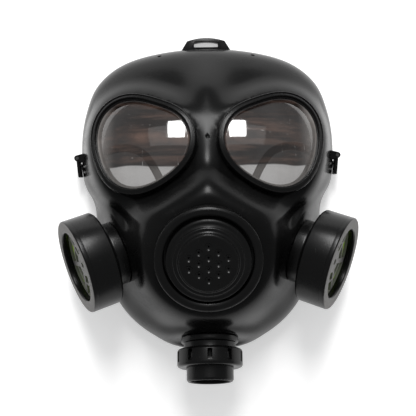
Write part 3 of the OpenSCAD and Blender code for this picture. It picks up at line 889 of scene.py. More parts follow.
def windows(radius: float, low: float, high: float) -> Shape:
    """The three pairs of windows of a valve seat, between its spokes.

    Args:
        radius: The windows' outer radius.
        low: Their lower end.
        high: Their upper end.

    Returns:
        The six windows, for cutting with.
    """
    hub, half = 3.4, 0.8
    out = bmesh.new()
    for i in range(6):
        middle = math.radians(60 * i)
        gap, far = math.asin(half / hub), math.asin(half / radius)
        spots = [
            (r * math.cos(middle + a), r * math.sin(middle + a), z)
            for z in (low, high)
            for r, reach in ((hub, math.pi / 6 - gap), (radius, math.pi / 6 - far))
            for a in (reach * k / 4 for k in range(-4, 5))
        ]
        added(out, hulled(spots))
    return out


@dataclass(frozen=True)
class Mount:
    """How the face piece takes a fitting: the radii of its flat, its hole, its boss and its nut.

    The skin blends into the flat over the blend, and is smoothed from the radius clear outward.
    """

    seat: Seat
    flat: float
    blend: float
    clear: float
    hole_r: float
    boss_r: float
    nut_r: float


MOUTH = Mount(MOUTH_SEAT, flat=38.0, blend=26.0, clear=34.6, hole_r=30.0, boss_r=35.4, nut_r=35.5)
PORT = Mount(PORT_SEAT, flat=26.0, blend=15.0, clear=23.5, hole_r=18.0, boss_r=22.5, nut_r=22.0)
OUTLET = Mount(OUTLET_SEAT, flat=21.3, blend=17.0, clear=20.6, hole_r=17.0, boss_r=20.3, nut_r=20.0)


# --- Face piece ---


@dataclass
class Fitting:
    """A part of the mask that is made at the bench."""

    bench: Bench



@dataclass
class FacePiece(Fitting):
    """The moulded rubber face: dome, seats, bosses, tab, lugs and holes."""

    wall: float = 2.6
    brow_h: float = 66.0
    muzzle_h: float = 18.0
    nose_h: float = 13.0
    eye_seat_w: float = EYE_RIM_W + 1.5
    rim_steps: int = 9
    rings: int = 64
    smoothing: int = 12
    calm_y: float = 108.0
    calm_z: float = 22.0
    strap_z: float = 13.0
    strap_hole: Spot = (30.0, 9.6, 7.2)
    peg_hole: Spot = (34.5, 7.4, 17.0)
    peg_r: float = 1.5
    peg_tilt: float = -50.0
    pit_y: float = 48.7
    pit_r: float = 2.3
    lug_r: float = 2.2
    lug_spans: tuple[Point, ...] = ((6.0, 8.3), (17.7, 20.0))
    pin_hole_r: float = 1.3
    shape: tuple[Point, ...] = (
        (0, 1), (0.37, 0.974), (0.667, 0.904), (0.868, 0.775), (0.963, 0.597), (1, 0.402), (0.985, 0.177),
        (0.9, 0.02), (0.89, -0.22), (0.825, -0.465), (0.72, -0.655), (0.6, -0.785), (0.45, -0.885),
        (0.27, -0.965), (0, -1),
    )  # fmt: skip

    def rim(self) -> list[Vector]:
        """The rim's points all the way round."""
        half = [Vector((x * FACE_W / 2, y * (FOREHEAD_Y if y > 0 else CHIN_Y))) for x, y in self.shape]
        ring = half + [Vector((-p.x, p.y)) for p in reversed(half[1:-1])]
        return smooth_line(ring, self.rim_steps, closed=True)

    def dome(self, x: float, y: float, t: float) -> float:
        """The dome's height before the seats are blended in.

        Args:
            x: The point's x, on the right half.
            y: The point's y.
            t: 0 in the middle and 1 on the rim.

        Returns:
            The height.
        """
        top = self.brow_h + self.muzzle_h * bell(y + 22, 40)
        fall = max(1 - t**2.2, 0.0) ** (0.5 + 0.22 * bell(y + 35, 35))
        ridge = self.nose_h * bell(x, 13) * blended(-22, 12, y) * (1 - blended(75, 112, y))
        return top * fall + ridge

    @staticmethod
    def seated(height: float, mount: Mount, x: float, y: float, keep: float) -> float:
        """Blends a seat's plane into the dome.

        Args:
            height: The height so far.
            mount: The fitting's mount.
            x: The point's x.
            y: The point's y.
            keep: How much of the seat is kept there.

        Returns:
            The new height.
        """
        plane = mount.seat.height(x, y)
        away = (Vector((x, y, plane)) - Vector(mount.seat.centre)).length
        return height + (plane - height) * keep * (1 - blended(mount.flat, mount.flat + mount.blend, away))

    def eye_seated(self, height: float, x: float, y: float, keep: float) -> float:
        """Blends an eyepiece's plane into the dome.

        Args:
            height: The height so far.
            x: The point's x.
            y: The point's y.
            keep: How much of the seat is kept there.

        Returns:
            The new height.
        """
        plane = EYE_SEAT.height(x, y)
        flat = EYE_SEAT.matrix().inverted() @ Vector((x, y, plane))
        outside = math.hypot(flat.x, flat.y) - eye_reach(math.atan2(flat.y, flat.x), self.eye_seat_w)
        return height + (plane - height) * keep * (1 - blended(0, 11, outside))

    def height(self, x: float, y: float, t: float) -> float:
        """The outer skin's height over a point.

        Args:
            x: The point's x.
            y: The point's y.
            t: 0 in the middle and 1 on the rim.

        Returns:
            The height.
        """
        side = abs(x)
        keep = 1 - blended(0.965, 1, t)
        z = self.seated(self.dome(side, y, t), MOUTH, side, y, keep)
        z = self.eye_seated(z, side, y, keep)
        z = self.seated(z, PORT, side, y, keep)
        return self.seated(z, OUTLET, side, y, keep)

    def between_seats(self, spot: Vector) -> bool:
        """Whether a point of the skin lies clear of the eyepieces, of every seat and of the rim.

        Args:
            spot: The point.

        Returns:
            Whether it may be smoothed.
        """
        x, y = abs(spot.x), spot.y
        flat = EYE_SEAT.matrix().inverted() @ Vector((x, y, EYE_SEAT.height(x, y)))
        outside = math.hypot(flat.x, flat.y) - eye_reach(math.atan2(flat.y, flat.x), EYE_RIM_W + 1.0)
        here = Vector((x, y, spot.z))
        clear = all((here - Vector(m.seat.centre)).length > m.clear for m in (MOUTH, PORT, OUTLET))
        return clear and outside > 0 and y < self.calm_y and spot.z > self.calm_z

    def skin(self) -> Shape:
        """The outer skin, from the rim to the middle of the mouth, with its wall."""
        pole = Vector(MOUTH_SEAT.centre[:2])
        rim = self.rim()
        bm = bmesh.new()
        bmesh.ops.create_circle(bm, cap_ends=False, segments=len(rim), radius=1.0)
        spoke = bm.verts.layers.int.new("spoke")
        ring, loop = list(bm.verts), list(bm.edges)
        for v in ring:
            v[spoke] = round(math.atan2(v.co.y, v.co.x) / (2 * math.pi) * len(rim)) % len(rim)
        for j in range(self.rings, 0, -1):
            if j < self.rings:
                ring, loop = grown(bm, loop)
            s = (j - 1) / (self.rings - 1)
            share = 0.04 + 0.96 * (s + math.sin(math.pi / 2 * s)) / 2
            for v in ring:
                p = pole.lerp(rim[v[spoke]], share)
                v.co = (p.x, p.y, self.height(p.x, p.y, share))
        bmesh.ops.edgeloop_fill(bm, edges=loop)
        soft = [v for v in bm.verts if self.between_seats(v.co)]
        for _ in range(self.smoothing):
            bmesh.ops.smooth_vert(
                bm, verts=soft, factor=0.5, use_axis_x=False, use_axis_y=False, use_axis_z=True
            )
        bmesh.ops.recalc_face_normals(bm, faces=bm.faces)
        top = max(bm.faces, key=lambda f: f.calc_center_median().z)
        if top.normal.z < 0:
            bmesh.ops.reverse_faces(bm, faces=bm.faces)
        return bm

    def walled(self) -> Shape:
        """The skin with the thickness of its wall.

        Returns:
            The closed shell.
        """
        sheet = self.bench.loose(self.skin(), "skin")
        wall = sheet.modifiers.new("wall", "SOLIDIFY")
        wall.thickness, wall.offset, wall.use_even_offset = self.wall, -1.0, True
        return self.bench.baked(sheet)

    @staticmethod
    def fitting(mount: Mount, side: Side) -> list[Step]:
        """The boss, the hole and the nut's room of one fitting.

        Args:
            mount: The fitting's mount.
            side: The side that it is on.

        Returns:
            The steps for carving.
        """
        flip = side.flip @ mount.seat.matrix()
        return [
            (Carve.JOIN, moved(rod(mount.boss_r, -BOSS_T, -0.5), flip)),
            (Carve.CUT, moved(rod(mount.boss_r + 0.6, -0.05, 14.0, 128), flip)),
            (Carve.CUT, moved(rod(mount.nut_r + 0.8, -BOSS_T - 9, -BOSS_T), flip)),
            (Carve.CUT, moved(rod(mount.hole_r, -BOSS_T - 9, 9.0), flip)),
        ]

    def tab(self) -> Shape:
        """The strap tab on the forehead, arched along its end."""
        half, low, high, arch, edge = 13.5, 1.0, 4.6, 2.2, 1.0
        ends = [(half * k / 8, TAB_END - edge - arch * (k / 8) ** 2) for k in range(-8, 9)]
        round_off = [(edge * math.cos(a), edge * math.sin(a)) for a in (math.pi * i / 6 for i in range(12))]
        line = [(x + dx, y + dy) for x, y in ends for dx, dy in round_off]
        line += [(sx * (half + 5.6), FOREHEAD_Y - 2.3) for sx in (-1, 1)]
        bm = hulled([(x, y, z) for x, y in line for z in (low, high)])
        rim = [e for e in bm.edges if abs(e.verts[0].co.z - e.verts[1].co.z) < 0.1]
        bmesh.ops.bevel(bm, geom=rim, offset=0.5, segments=2, profile=0.5, affect="EDGES", material=-1)
        return bm

    def slot(self) -> Shape:
        """The slot through the tab, arched as its end is."""
        half, tall, arch, r = 9.0, 4.0, 1.0, 0.6
        low = FOREHEAD_Y + 0.95
        tops = [(half * k / 8, low + tall - arch * (k / 8) ** 2) for k in range(-8, 9)]
        line = [(x * (1 - r / half) + r * math.cos(a), y - r + r * math.sin(a))
                for x, y in [*tops, (-half, low + 2 * r), (half, low + 2 * r)]
                for a in (math.pi * i / 5 for i in range(10))]
        return hulled([(x, y, z) for x, y in line for z in (-2.0, 8.0)])

    def lugs(self, side: Side) -> list[Step]:
        """The two lugs that hold a buckle's pin.

        Args:
            side: The side that they are on.

        Returns:
            The steps for carving.
        """
        steps: list[Step] = []
        for low, high in self.lug_spans:
            spots = [
                (PIN_X + self.lug_r * math.cos(a), LUG_Y + self.lug_r * math.sin(a), z)
                for a in (math.pi * i / 12 for i in range(24))
                for z in (low, high)
            ]
            spots += [(PIN_X - 7, LUG_Y + y, z) for y in (-4.0, 4.0) for z in (low, high)]
            steps.append((Carve.JOIN, moved(hulled(spots), side.flip)))
        pin = moved(rod(self.pin_hole_r, 0.0, 30.0, 32), Matrix.Translation((PIN_X * side.value, LUG_Y, 0)))
        return [*steps, (Carve.CUT, pin)]

    def build(self) -> None:
        """Makes the face piece."""
        steps: list[Step] = []
        steps += self.fitting(MOUTH, Side.RIGHT)
        steps += self.fitting(OUTLET, Side.RIGHT)
        for side in Side:
            flip = side.flip
            steps += self.fitting(PORT, side)
            eye = carried([(-2.0, -15.0), (-2.0, 15.0)], eye_reach, capped=True)
            steps.append((Carve.CUT, moved(eye, flip @ EYE_SEAT.matrix())))
            clear = carried([(EYE_RIM_W + 0.3, -0.05), (EYE_RIM_W + 0.3, 14.0)], eye_reach, capped=True)
            steps.append((Carve.CUT, moved(clear, flip @ EYE_SEAT.matrix())))
            opening = block(self.strap_hole, (FACE_W / 2, LUG_Y - Buckle.length / 2, self.strap_z), 2.4)
            steps.append((Carve.CUT, moved(opening, flip)))
            steps += self.lugs(side)
            x, drop, z = self.peg_hole
            lean = Matrix.Rotation(math.radians(self.peg_tilt), 4, "X")
            peg = Matrix.Translation((x, FOREHEAD_Y - drop, z)) @ lean
            steps.append((Carve.CUT, moved(rod(self.peg_r, -8.0, 8.0, 32), flip @ peg)))
        steps.append((Carve.JOIN, self.tab()))
        steps.append((Carve.CUT, self.slot()))
        mouth_y = MOUTH_SEAT.centre[1]
        top = self.height(0.0, self.pit_y, (self.pit_y - mouth_y) / (FOREHEAD_Y - mouth_y))
        pit = bmesh.new()
        spot = Matrix.Translation((0.4, self.pit_y, top + 1.5))
        bmesh.ops.create_uvsphere(pit, u_segments=32, v_segments=20, radius=self.pit_r, matrix=spot)
        steps.append((Carve.CUT, pit))
        shape = self.bench.carved(self.walled(), *steps)
        self.bench.piece(
            shape, "face_rubber_skin", self.bench.spot(), "rubber_black", nodes=["face_piece"], crease=44.0
        )


# --- Eyepieces ---


@dataclass
class Eyepiece(Fitting):
    """One lens with the rim that holds it."""

    side: Side
    gasket: float = 1.2
    thick: float = 2.0
    rise: float = 7.5
    edge: float = 1.5
    rim_w: float = EYE_RIM_W
    rim_h: float = 6.0

    def lens(self) -> Shape:
        """The domed lens with its flat edge."""
        flat = 0.92
        shares = [1.0, 0.97, 0.94] + [flat * math.cos(math.pi / 2 * i / 22) for i in range(22)]

        def lift(s: float) -> float:
            """The dome's rise at a share of the radius."""
            return self.rise * (1 - (s / flat) ** 2) if s < flat else 0.0

        under = [(s, self.gasket + lift(s)) for s in reversed(shares)]
        over = [(s, self.gasket + self.thick + lift(s)) for s in shares]
        return carried(under + over, lambda a, s: s * eye_reach(a, self.edge), capped=True)

    def rim(self) -> Shape:
        """The moulded rim: a fine outer ridge, a broad band and a deep groove beside the lens."""
        seat, w = self.edge + 0.1, self.rim_w
        top, lens_top = self.rim_h, self.gasket + self.thick + 0.1
        corners = [
            (seat, 0.0), (w, 0.0), (w, top - 1.7), (w - 0.3, top - 0.75), (w - 0.8, top - 0.4),
            (w - 1.15, top - 1.05), (w - 1.6, top - 0.85), (1.6, top), (1.1, top - 0.25), (0.9, top - 2.0),
            (0.0, top - 2.15), (0.0, lens_top), (seat, lens_top),
        ]  # fmt: skip
        return carried(rounded(corners, 0.35), eye_reach)

    def build(self) -> None:
        """Makes the lens and its rim."""
        word = self.side.word
        spot = self.bench.spot(EYE_SEAT, self.side)
        self.bench.piece(self.lens(), f"eyepiece_lens_{word}", spot, "lens_clear", nodes=[f"lens_{word}"])
        rim = self.rim()
        self.bench.piece(rim, f"eyepiece_rim_{word}", spot, "plastic_black", nodes=[f"lens_rim_{word}"])


# --- Speech unit ---


@dataclass
class SpeechUnit(Fitting):
    """The housing on the muzzle with its stepped, dimpled cover."""

    housing_r: float = 35.4
    band: float = 5.8
    height: float = 10.0
    cover_r: float = 27.7
    mid_r: float = 23.2
    disc_r: float = 19.2
    cover_h: float = 16.0
    wall: float = 2.2
    web: float = 3.2
    throat: float = 26.5
    column: float = 6.3
    row: float = 7.4
    dimple_r: float = 2.4
    columns: tuple[int, ...] = (2, 3, 4, 3, 2)

    def housing(self) -> Shape:
        """The outer ring with its flat band, and the throat behind it."""
        inner = self.housing_r - self.band
        back = PORT_BACK
        corners = [
            (self.throat, back), (self.throat + 3, back), (self.throat + 3, 1.2), (self.housing_r, 1.2),
            (self.housing_r, self.height - 0.9), (self.housing_r - 1.6, self.height),
            (inner + 1.7, self.height), (inner, self.height - 0.9), (inner, self.web),
            (self.throat, self.web),
        ]  # fmt: skip
        return spun(rounded(corners, 0.4), 192)

    def cover(self) -> Shape:
        """The stepped cover with its dimples and sound holes.

        Returns:
            The cover.
        """
        low, high, w = self.height + 1, self.cover_h, self.wall
        disc, step, outer = self.disc_r, self.mid_r, self.cover_r
        mid = (low + high) / 2
        corners = [
            (0.0, high), (disc - 1.1, high), (disc, high - 0.5), (disc, high - 1.7), (disc + 0.9, high - 1.7),
            (disc + 1.3, mid + 0.3), (disc + 2.0, mid), (step - 0.8, mid), (step, mid - 0.5),
            (step, low + 0.8), (step + 1.7, low), (outer - 1.4, low), (outer, low - 0.7),
            (outer, self.web), (outer - w, self.web), (outer - w, low - w), (step - w, low - w),
            (step - w, mid - w), (disc - w, mid - w),
            (disc - w, high - w), (0.0, high - w),
        ]  # fmt: skip
        dimples, holes = bmesh.new(), bmesh.new()
        ball = self.dimple_r * math.sqrt(2)
        for i, count in enumerate(self.columns):
            for j in range(count):
                x = (i - (len(self.columns) - 1) / 2) * self.column
                y = (j - (count - 1) / 2) * self.row
                spot = Matrix.Translation((x, y, high + self.dimple_r * 0.96))
                bmesh.ops.create_uvsphere(dimples, u_segments=40, v_segments=24, radius=ball, matrix=spot)
                added(holes, moved(rod(0.62, high - 5, high + 2, 24), Matrix.Translation((x, y, 0))))
        beside = Matrix.Translation((self.column, -2 * self.row, 0))
        nib = moved(rod(0.55, high - 0.6, high + 0.35, 20), beside)
        return self.bench.carved(
            spun(rounded(corners, 0.3, 3, closed=False), 192, closed=False),
            (Carve.CUT, dimples),
            (Carve.CUT, holes),
            (Carve.JOIN, nib),
        )

    def build(self) -> None:
        """Makes the housing and its cover."""
        spot = self.bench.spot(MOUTH_SEAT)
        nib = rod(0.6, self.height - 0.6, self.height + 0.4, 20)
        nib = moved(nib, Matrix.Translation((0, -32.4, 0)))
        housing = self.bench.carved(self.housing(), (Carve.JOIN, nib))
        self.bench.piece(housing, "speech_housing_ring", spot, "plastic_black", nodes=["voice_housing"])
        self.bench.piece(
            self.cover(), "speech_cover_stepped", spot, "plastic_black", nodes=["speech_cover"], crease=30
        )


# --- Cheek ports and canisters ---


@dataclass
class Canister(Fitting):
    """One cheek port with the filter canister that twists off it."""

    side: Side
    port_r: float = 22.5
    port_len: float = 9.5
    bore: float = 15.0
    gasket: float = 0.8
    radius: float = 33.3
    length: float = 21.6
    wall: float = 2.2
    cap: float = 3.5
    open_r: float = 25.0
    recess: float = 5.0
    grille_t: float = 2.0
    hub_r: float = 8.0
    arm_w: float = 3.4
    mid_ring: Point = (13.7, 15.3)
    arms: int = 6

    @property
    def back(self) -> float:
        """The canister's back over the port's seat."""
        return self.port_len + self.gasket

    @property
    def front(self) -> float:
        """The canister's front over the port's seat."""
        return self.back + self.length

    def shell(self) -> Shape:
        """The drum with its floor, spigot and bayonet lugs.

        Returns:
            The shell.
        """
        spigot, r, b = self.bore - FIT, self.radius, self.back + FIT / 2
        seam = self.front - self.cap
        corners = [
            (spigot - 2.6, 2.4), (spigot, 2.4), (spigot, b), (r - 1.3, b), (r, b + 1.3), (r, seam - FIT),
            (r - FIT, seam), (r - self.wall, seam), (r - self.wall, b + 2), (spigot - 2.6, b + 2),
        ]  # fmt: skip
        steps = []
        for i in range(3):
            lug = block((2.4, 5.0, 2.4), (spigot - 0.2, 0, 4.6), 0.3)
            steps.append((Carve.JOIN, turned(lug, 120 * i)))
        return self.bench.carved(spun(rounded(corners, 0.4), 192), *steps)

    def ring(self) -> Shape:
        """The front ring with its deep opening and small mould marks.

        Returns:
            The ring.
        """
        r, f, o = self.radius, self.front, self.open_r
        seam, base = f - self.cap, f - self.recess
        inner = r - self.wall - 0.1
        corners = [
            (o - 0.2, base), (inner, base), (inner, seam), (r - FIT, seam), (r, seam + FIT), (r, f - 0.7),
            (r - 0.7, f), (o + 0.7, f), (o, f - 0.7),
        ]  # fmt: skip
        steps = []
        for angle in (152.0, 332.0):
            mark = moved(rod(0.75, f - 1.0, f + 1, 24), Matrix.Translation((29.3, 0, 0)))
            steps.append((Carve.CUT, turned(mark, angle)))
        made = self.bench.carved(spun(rounded(corners, 0.35), 192), *steps)
        for face in made.faces:
            if face.normal.z > 0.9 and face.calc_center_median().z > f - 0.3:
                face.material_index = 1
        return made

    def grille(self) -> Shape:
        """The grille: a plate with a hub, arms and a middle ring.

        Returns:
            The grille.
        """
        low = self.front - self.recess - self.grille_t
        high = low + self.grille_t

        def tube(outer: float, inner: float, more: float) -> Shape:
            """A ring as high as the plate and more."""
            a, b = low - more, high + more
            return spun([(inner, a), (outer, a), (outer, b), (inner, b)], 144)

        steps = [(Carve.CUT, tube(self.mid_ring[1], self.mid_ring[0], 2.0))]
        for i in range(self.arms):
            arm = block((self.radius, self.arm_w, self.grille_t + 4), (self.radius / 2, 0, (low + high) / 2))
            steps.append((Carve.CUT, turned(arm, 360 * i / self.arms)))
        gaps = self.bench.carved(tube(self.open_r - 0.6, self.hub_r, 1.0), *steps)
        plate = spun(rounded([(2.0, low), (31.0, low), (31.0, high), (2.0, high)], 0.3), 144)
        return self.bench.carved(plate, (Carve.CUT, gaps))

    def port(self) -> Shape:
        """The port with its rounded shoulder, bayonet slots and valve seat.

        Returns:
            The port.
        """
        back, r, end = PORT_BACK, self.port_r, self.port_len
        corners = [
            (0.0, back), (self.bore + 2.5, back), (self.bore + 2.5, 0.0), (r - 0.5, 0.0), (r, 0.5),
            (r, end - 2.6), (r - 0.7, end - 0.9), (r - 2.4, end), (self.bore, end), (self.bore, back + 2),
            (0.0, back + 2),
        ]  # fmt: skip
        groove = [(self.bore - 1, 3.1), (16.8, 3.1), (16.8, 6.1), (self.bore - 1, 6.1)]
        steps = [
            (Carve.CUT, windows(self.bore - 2.0, back - 1, back + 3)),
            (Carve.CUT, rod(STEM_HOLE_R, back - 1, back + 3, 32)),
            (Carve.CUT, spun(groove, 96)),
        ]
        for i in range(3):
            slot = block((6.3, 5.6, end), (13.15, 0, 3.4 + end / 2))
            steps.append((Carve.CUT, turned(slot, 120 * i + 60)))
        return self.bench.carved(spun(rounded(corners, 0.4, 3, closed=False), 160, closed=False), *steps)

    def build(self) -> None:
        """Makes the port's barrel and the canister."""
        word = self.side.word
        spot = self.bench.spot(PORT_SEAT, self.side)
        body = f"canister_{word}"
        port, shell, black = self.port(), self.shell(), "plastic_black"
        self.bench.piece(port, f"cheek_port_barrel_{word}", spot, black, nodes=[f"cheek_port_{word}"])
        self.bench.piece(shell, f"canister_shell_{word}", spot, black, body, [f"canister_body_{word}"])
        front, plate = self.ring(), self.grille()
        ring = self.bench.piece(front, f"canister_ring_{word}", spot, black, body, [f"canister_front_{word}"])
        ring.data.materials.append(self.bench.finishes["front_grey"])
        grille = self.bench.piece(
            plate, f"canister_grille_plate_{word}", spot, "grille_grey", body, [f"canister_grille_{word}"]
        )
        soften = grille.modifiers.new("edges", "BEVEL")
        soften.width, soften.segments, soften.angle_limit = 0.25 * MM, 2, math.radians(40)


# --- Chin outlet ---


@dataclass
class Outlet(Fitting):
    """The outlet under the chin: port, slotted collar and hose spigot."""

    flange_r: float = 20.3
    flange_t: float = 4.5
    neck_r: float = 18.5
    neck_len: float = 4.0
    collar_r: float = 23.2
    collar_len: float = 13.0
    slots: int = 10
    slot_w: float = 2.3
    slot_len: float = 6.4
    wall: float = 2.0
    shoulder: float = 2.4
    spigot_r: float = 16.6
    spigot_bore: float = 14.0
    bore: float = 14.4
    spigot_len: float = 9.8

    @property
    def collar_z(self) -> float:
        """The collar's back over the outlet's seat."""
        return self.flange_t + self.neck_len

    @property
    def collar_end(self) -> float:
        """The collar's front over the outlet's seat."""
        return self.collar_z + self.collar_len

    @property
    def shoulder_z(self) -> float:
        """The back of the spigot's shoulder over the outlet's seat."""
        return self.collar_end - self.wall - self.shoulder - 0.1

    @property
    def thread_r(self) -> float:
        """The radius of the thread inside the collar."""
        return self.collar_r - self.wall - FIT

    def collar(self) -> Shape:
        """The collar with its slots.

        Returns:
            The collar.
        """
        r, low, high = self.collar_r, self.collar_z, self.collar_end
        inner, lip = r - self.wall, self.spigot_r + FIT
        corners = [
            (inner, low + 0.9), (self.neck_r + 0.3, low + 0.9), (self.neck_r + 0.3, low), (r - 2.0, low),
            (r - 0.5, low + 0.7), (r, low + 2.0), (r, high - 2.0), (r - 0.5, high - 0.7), (r - 2.0, high),
            (lip, high), (lip, high - 2.0), (inner, high - 2.0),
        ]  # fmt: skip
        steps = []
        for i in range(self.slots):
            slot = hulled([
                (x, sy * (self.slot_w / 2 + more), (low + high) / 2 - 0.6 + sz * (self.slot_len / 2 + more))
                for x, more in ((r - 4.0, 0.0), (r - 0.4, 0.0), (r + 0.3, 0.6))
                for sy in (-1, 1)
                for sz in (-1, 1)
            ])  # fmt: skip
            steps.append((Carve.CUT, turned(slot, 360 * i / self.slots + 90)))
        return self.bench.carved(spun(rounded(corners, 0.5), 160), *steps)

    def tube(self) -> Shape:
        """The hose spigot with its shoulder."""
        low, thread = self.shoulder_z, self.thread_r
        high = low + self.shoulder
        end = self.collar_end + self.spigot_len
        corners = [
            (self.spigot_bore, low), (thread, low), (thread, high), (self.spigot_r, high),
            (self.spigot_r, end - 1.4), (self.spigot_r - 1.0, end), (self.spigot_bore + 0.6, end),
            (self.spigot_bore, end - 0.6),
        ]  # fmt: skip
        return spun(rounded(corners, 0.35), 160)

    def port(self) -> Shape:
        """The port: flange, neck, thread and valve seat.

        Returns:
            The port.
        """
        z, thread, bore, back = self.shoulder_z - 1.0, self.thread_r, self.bore, PORT_BACK
        r, t = self.flange_r, self.flange_t
        corners = [
            (0.0, 0.0), (bore, 0.0), (bore, back), (16.5, back), (16.5, 0.0), (r - 0.5, 0.0), (r, 0.6),
            (r, t - 1.2), (r - 0.4, t - 0.4), (r - 1.2, t), (self.neck_r, t),
            (self.neck_r, self.collar_z + 1),
            (thread, self.collar_z + 1), (thread, self.collar_z + 2.2), (thread - 5.5, self.collar_z + 2.6),
            (thread - 5.5, z), (bore, z), (bore, 2.0), (0.0, 2.0),
        ]  # fmt: skip
        return self.bench.carved(
            spun(rounded(corners, 0.35, 3, closed=False), 160, closed=False),
            (Carve.CUT, windows(bore - 2.0, -1.0, 3.0)),
            (Carve.CUT, rod(STEM_HOLE_R, -1.0, 3.0, 32)),
        )

    def build(self) -> None:
        """Makes the port, the collar and the spigot."""
        spot = self.bench.spot(OUTLET_SEAT)
        self.bench.piece(self.port(), "chin_port_flange", spot, "plastic_black", nodes=["chin_port"])
        collar = self.collar()
        self.bench.piece(collar, "outlet_collar_slotted", spot, "plastic_black", "collar", ["outlet_collar"])
        self.bench.piece(self.tube(), "outlet_spigot", spot, "plastic_black", nodes=["outlet_tube"])


# --- Harness ---


@dataclass
class Buckle(Fitting):
    """One side buckle on its pin."""

    side: Side
    length: float = 14.0
    thick: float = 2.4
    low: float = 8.4
    high: float = 17.6
    bar: float = 3.0
    barrel_r: float = 2.2
    hole_r: float = 1.26
    tilt: float = 6.0

    def plate(self) -> Shape:
        """The plate with its barrel and windows.

        Returns:
            The plate.
        """
        h, r = self.high - self.low, self.barrel_r
        mid = h / 2
        window = (self.length - (2 * 1.2 + 2 * self.bar)) / 2
        tall = window - self.bar / 2
        barrel = rounded([(0.0, 0.0), (r, 0.0), (r, h), (0.0, h)], 0.4, 3, False)
        steps = [(Carve.JOIN, spun(barrel, 48, False))]
        for i in (0, 1):
            y = -self.length + self.bar + i * (window + self.bar / 2)
            hole = block((2 * self.thick, tall, h - self.bar), (0, y + tall / 2, mid), 0.5)
            steps.append((Carve.CUT, hole))
        steps.append((Carve.CUT, rod(self.hole_r, -2, h + 2, 32)))
        plate = block((self.thick, self.length, h), (0, -self.length / 2, mid), 0.5)
        return self.bench.carved(plate, *steps)

    def build(self) -> None:
        """Makes the buckle."""
        word = self.side.word
        turn = Matrix.Rotation(math.radians(-self.tilt), 4, "Z")
        spot = self.bench.spot(Seat((PIN_X, LUG_Y, self.low)), self.side) @ turn
        plate, body = self.plate(), f"buckle_{word}_swing"
        self.bench.piece(plate, f"side_buckle_{word}", spot, "plastic_black", body, [f"buckle_{word}"])


@dataclass
class HeadStrap(Fitting):
    """The elastic strap that lies behind the lenses from one slot to the other."""

    width: float = 6.0
    thick: float = 1.2
    steps: int = 14
    slot_z: float = 13.0
    lying: float = 0.9
    gap: float = 0.3
    shape: tuple[Spot, ...] = (
        (0.942, 0.842, 0.967), (0.878, 0.974, 0.67), (0.804, 1.13, 0.29), (0.72, 1.21, 0.0),
        (0.614, 1.21, 0.0), (0.508, 1.09, 0.0), (0.429, 0.816, 0.0), (0.36, 0.474, 0.0),
        (0.275, 0.13, 0.0), (0.148, -0.105, 0.0), (0.0, -0.21, 0.0),
    )  # fmt: skip

    def path(self) -> list[Vector]:
        """The smooth line of the strap."""
        lean = (Buckle.length + self.width) / 2 * math.sin(math.radians(Buckle.tilt))
        start_x = PIN_X - lean - Buckle.thick / 2 - self.gap
        spots = [Vector((start_x, LUG_Y - Buckle.length / 2, self.slot_z))]
        drop = self.slot_z - self.lying
        spots += [Vector((x * FACE_W / 2, y * LUG_Y, self.lying + drop * z)) for x, y, z in self.shape]
        spots += [Vector((-p.x, p.y, p.z)) for p in reversed(spots[:-1])]
        return smooth_line(spots, self.steps, closed=False)

    def build(self) -> None:
        """Makes the strap with its weave's UV map."""
        path = self.path()
        bm = bmesh.new()
        weave = bm.loops.layers.uv.new("weave")
        half_w, half_t = self.width / 2, self.thick / 2
        corners_in = [(half_w, half_t), (-half_w, half_t), (-half_w, -half_t), (half_w, -half_t)]
        section = rounded(corners_in, 0.5, 3)
        edge = [bm.verts.new((0.0, a, b)) for a, b in section]
        count = len(edge)
        loop = [bm.edges.new((edge[i], edge[(i + 1) % count])) for i in range(count)]
        spoke = bm.verts.layers.int.new("spoke")
        along = bm.verts.layers.float.new("along")
        for i, v in enumerate(bm.verts):
            v[spoke] = i
        first, ring, travelled = list(loop), list(bm.verts), 0.0
        for k, here in enumerate(path):
            if k:
                ring, loop = grown(bm, loop)
                travelled += (here - path[k - 1]).length
            ahead = (path[min(k + 1, len(path) - 1)] - path[max(k - 1, 0)]).normalized()
            across = Vector((0, 0, 1)).cross(ahead).normalized()
            up = ahead.cross(across)
            for v in ring:
                a, b = section[v[spoke]]
                v.co = here + across * a + up * b
                v[along] = travelled
        for rim in (first, loop):
            bmesh.ops.edgeloop_fill(bm, edges=rim)
        bmesh.ops.recalc_face_normals(bm, faces=bm.faces)
        for face in bm.faces:
            for corner in face.loops:
                corner[weave].uv = (corner.vert[along], section[corner.vert[spoke]][0] / self.width + 0.5)
        spot = self.bench.spot()
        self.bench.piece(bm, "head_strap_webbing", spot, "strap_elastic", nodes=["head_strap"], weld=False)


# --- Studio ---


@dataclass(frozen=True)
class SoftLamp:
    """A soft rectangular lamp that points at the mask, in metres and watts."""

    name: str
    spot: Spot
    size: Point
    power: float
    aim: Spot = (0.0, 0.0, 0.04)

    def make(self) -> None:
        """Hangs the lamp."""
        data = bpy.data.lights.new(self.name, "AREA")
        data.shape, data.size, data.size_y, data.energy = "RECTANGLE", *self.size, self.power
        lamp = bpy.data.objects.new(self.name, data)
        lamp.location = self.spot
        away = Vector(self.aim) - Vector(self.spot)
        lamp.rotation_euler = away.to_track_quat("-Z", "Y").to_euler()
        bpy.context.scene.collection.objects.link(lamp)


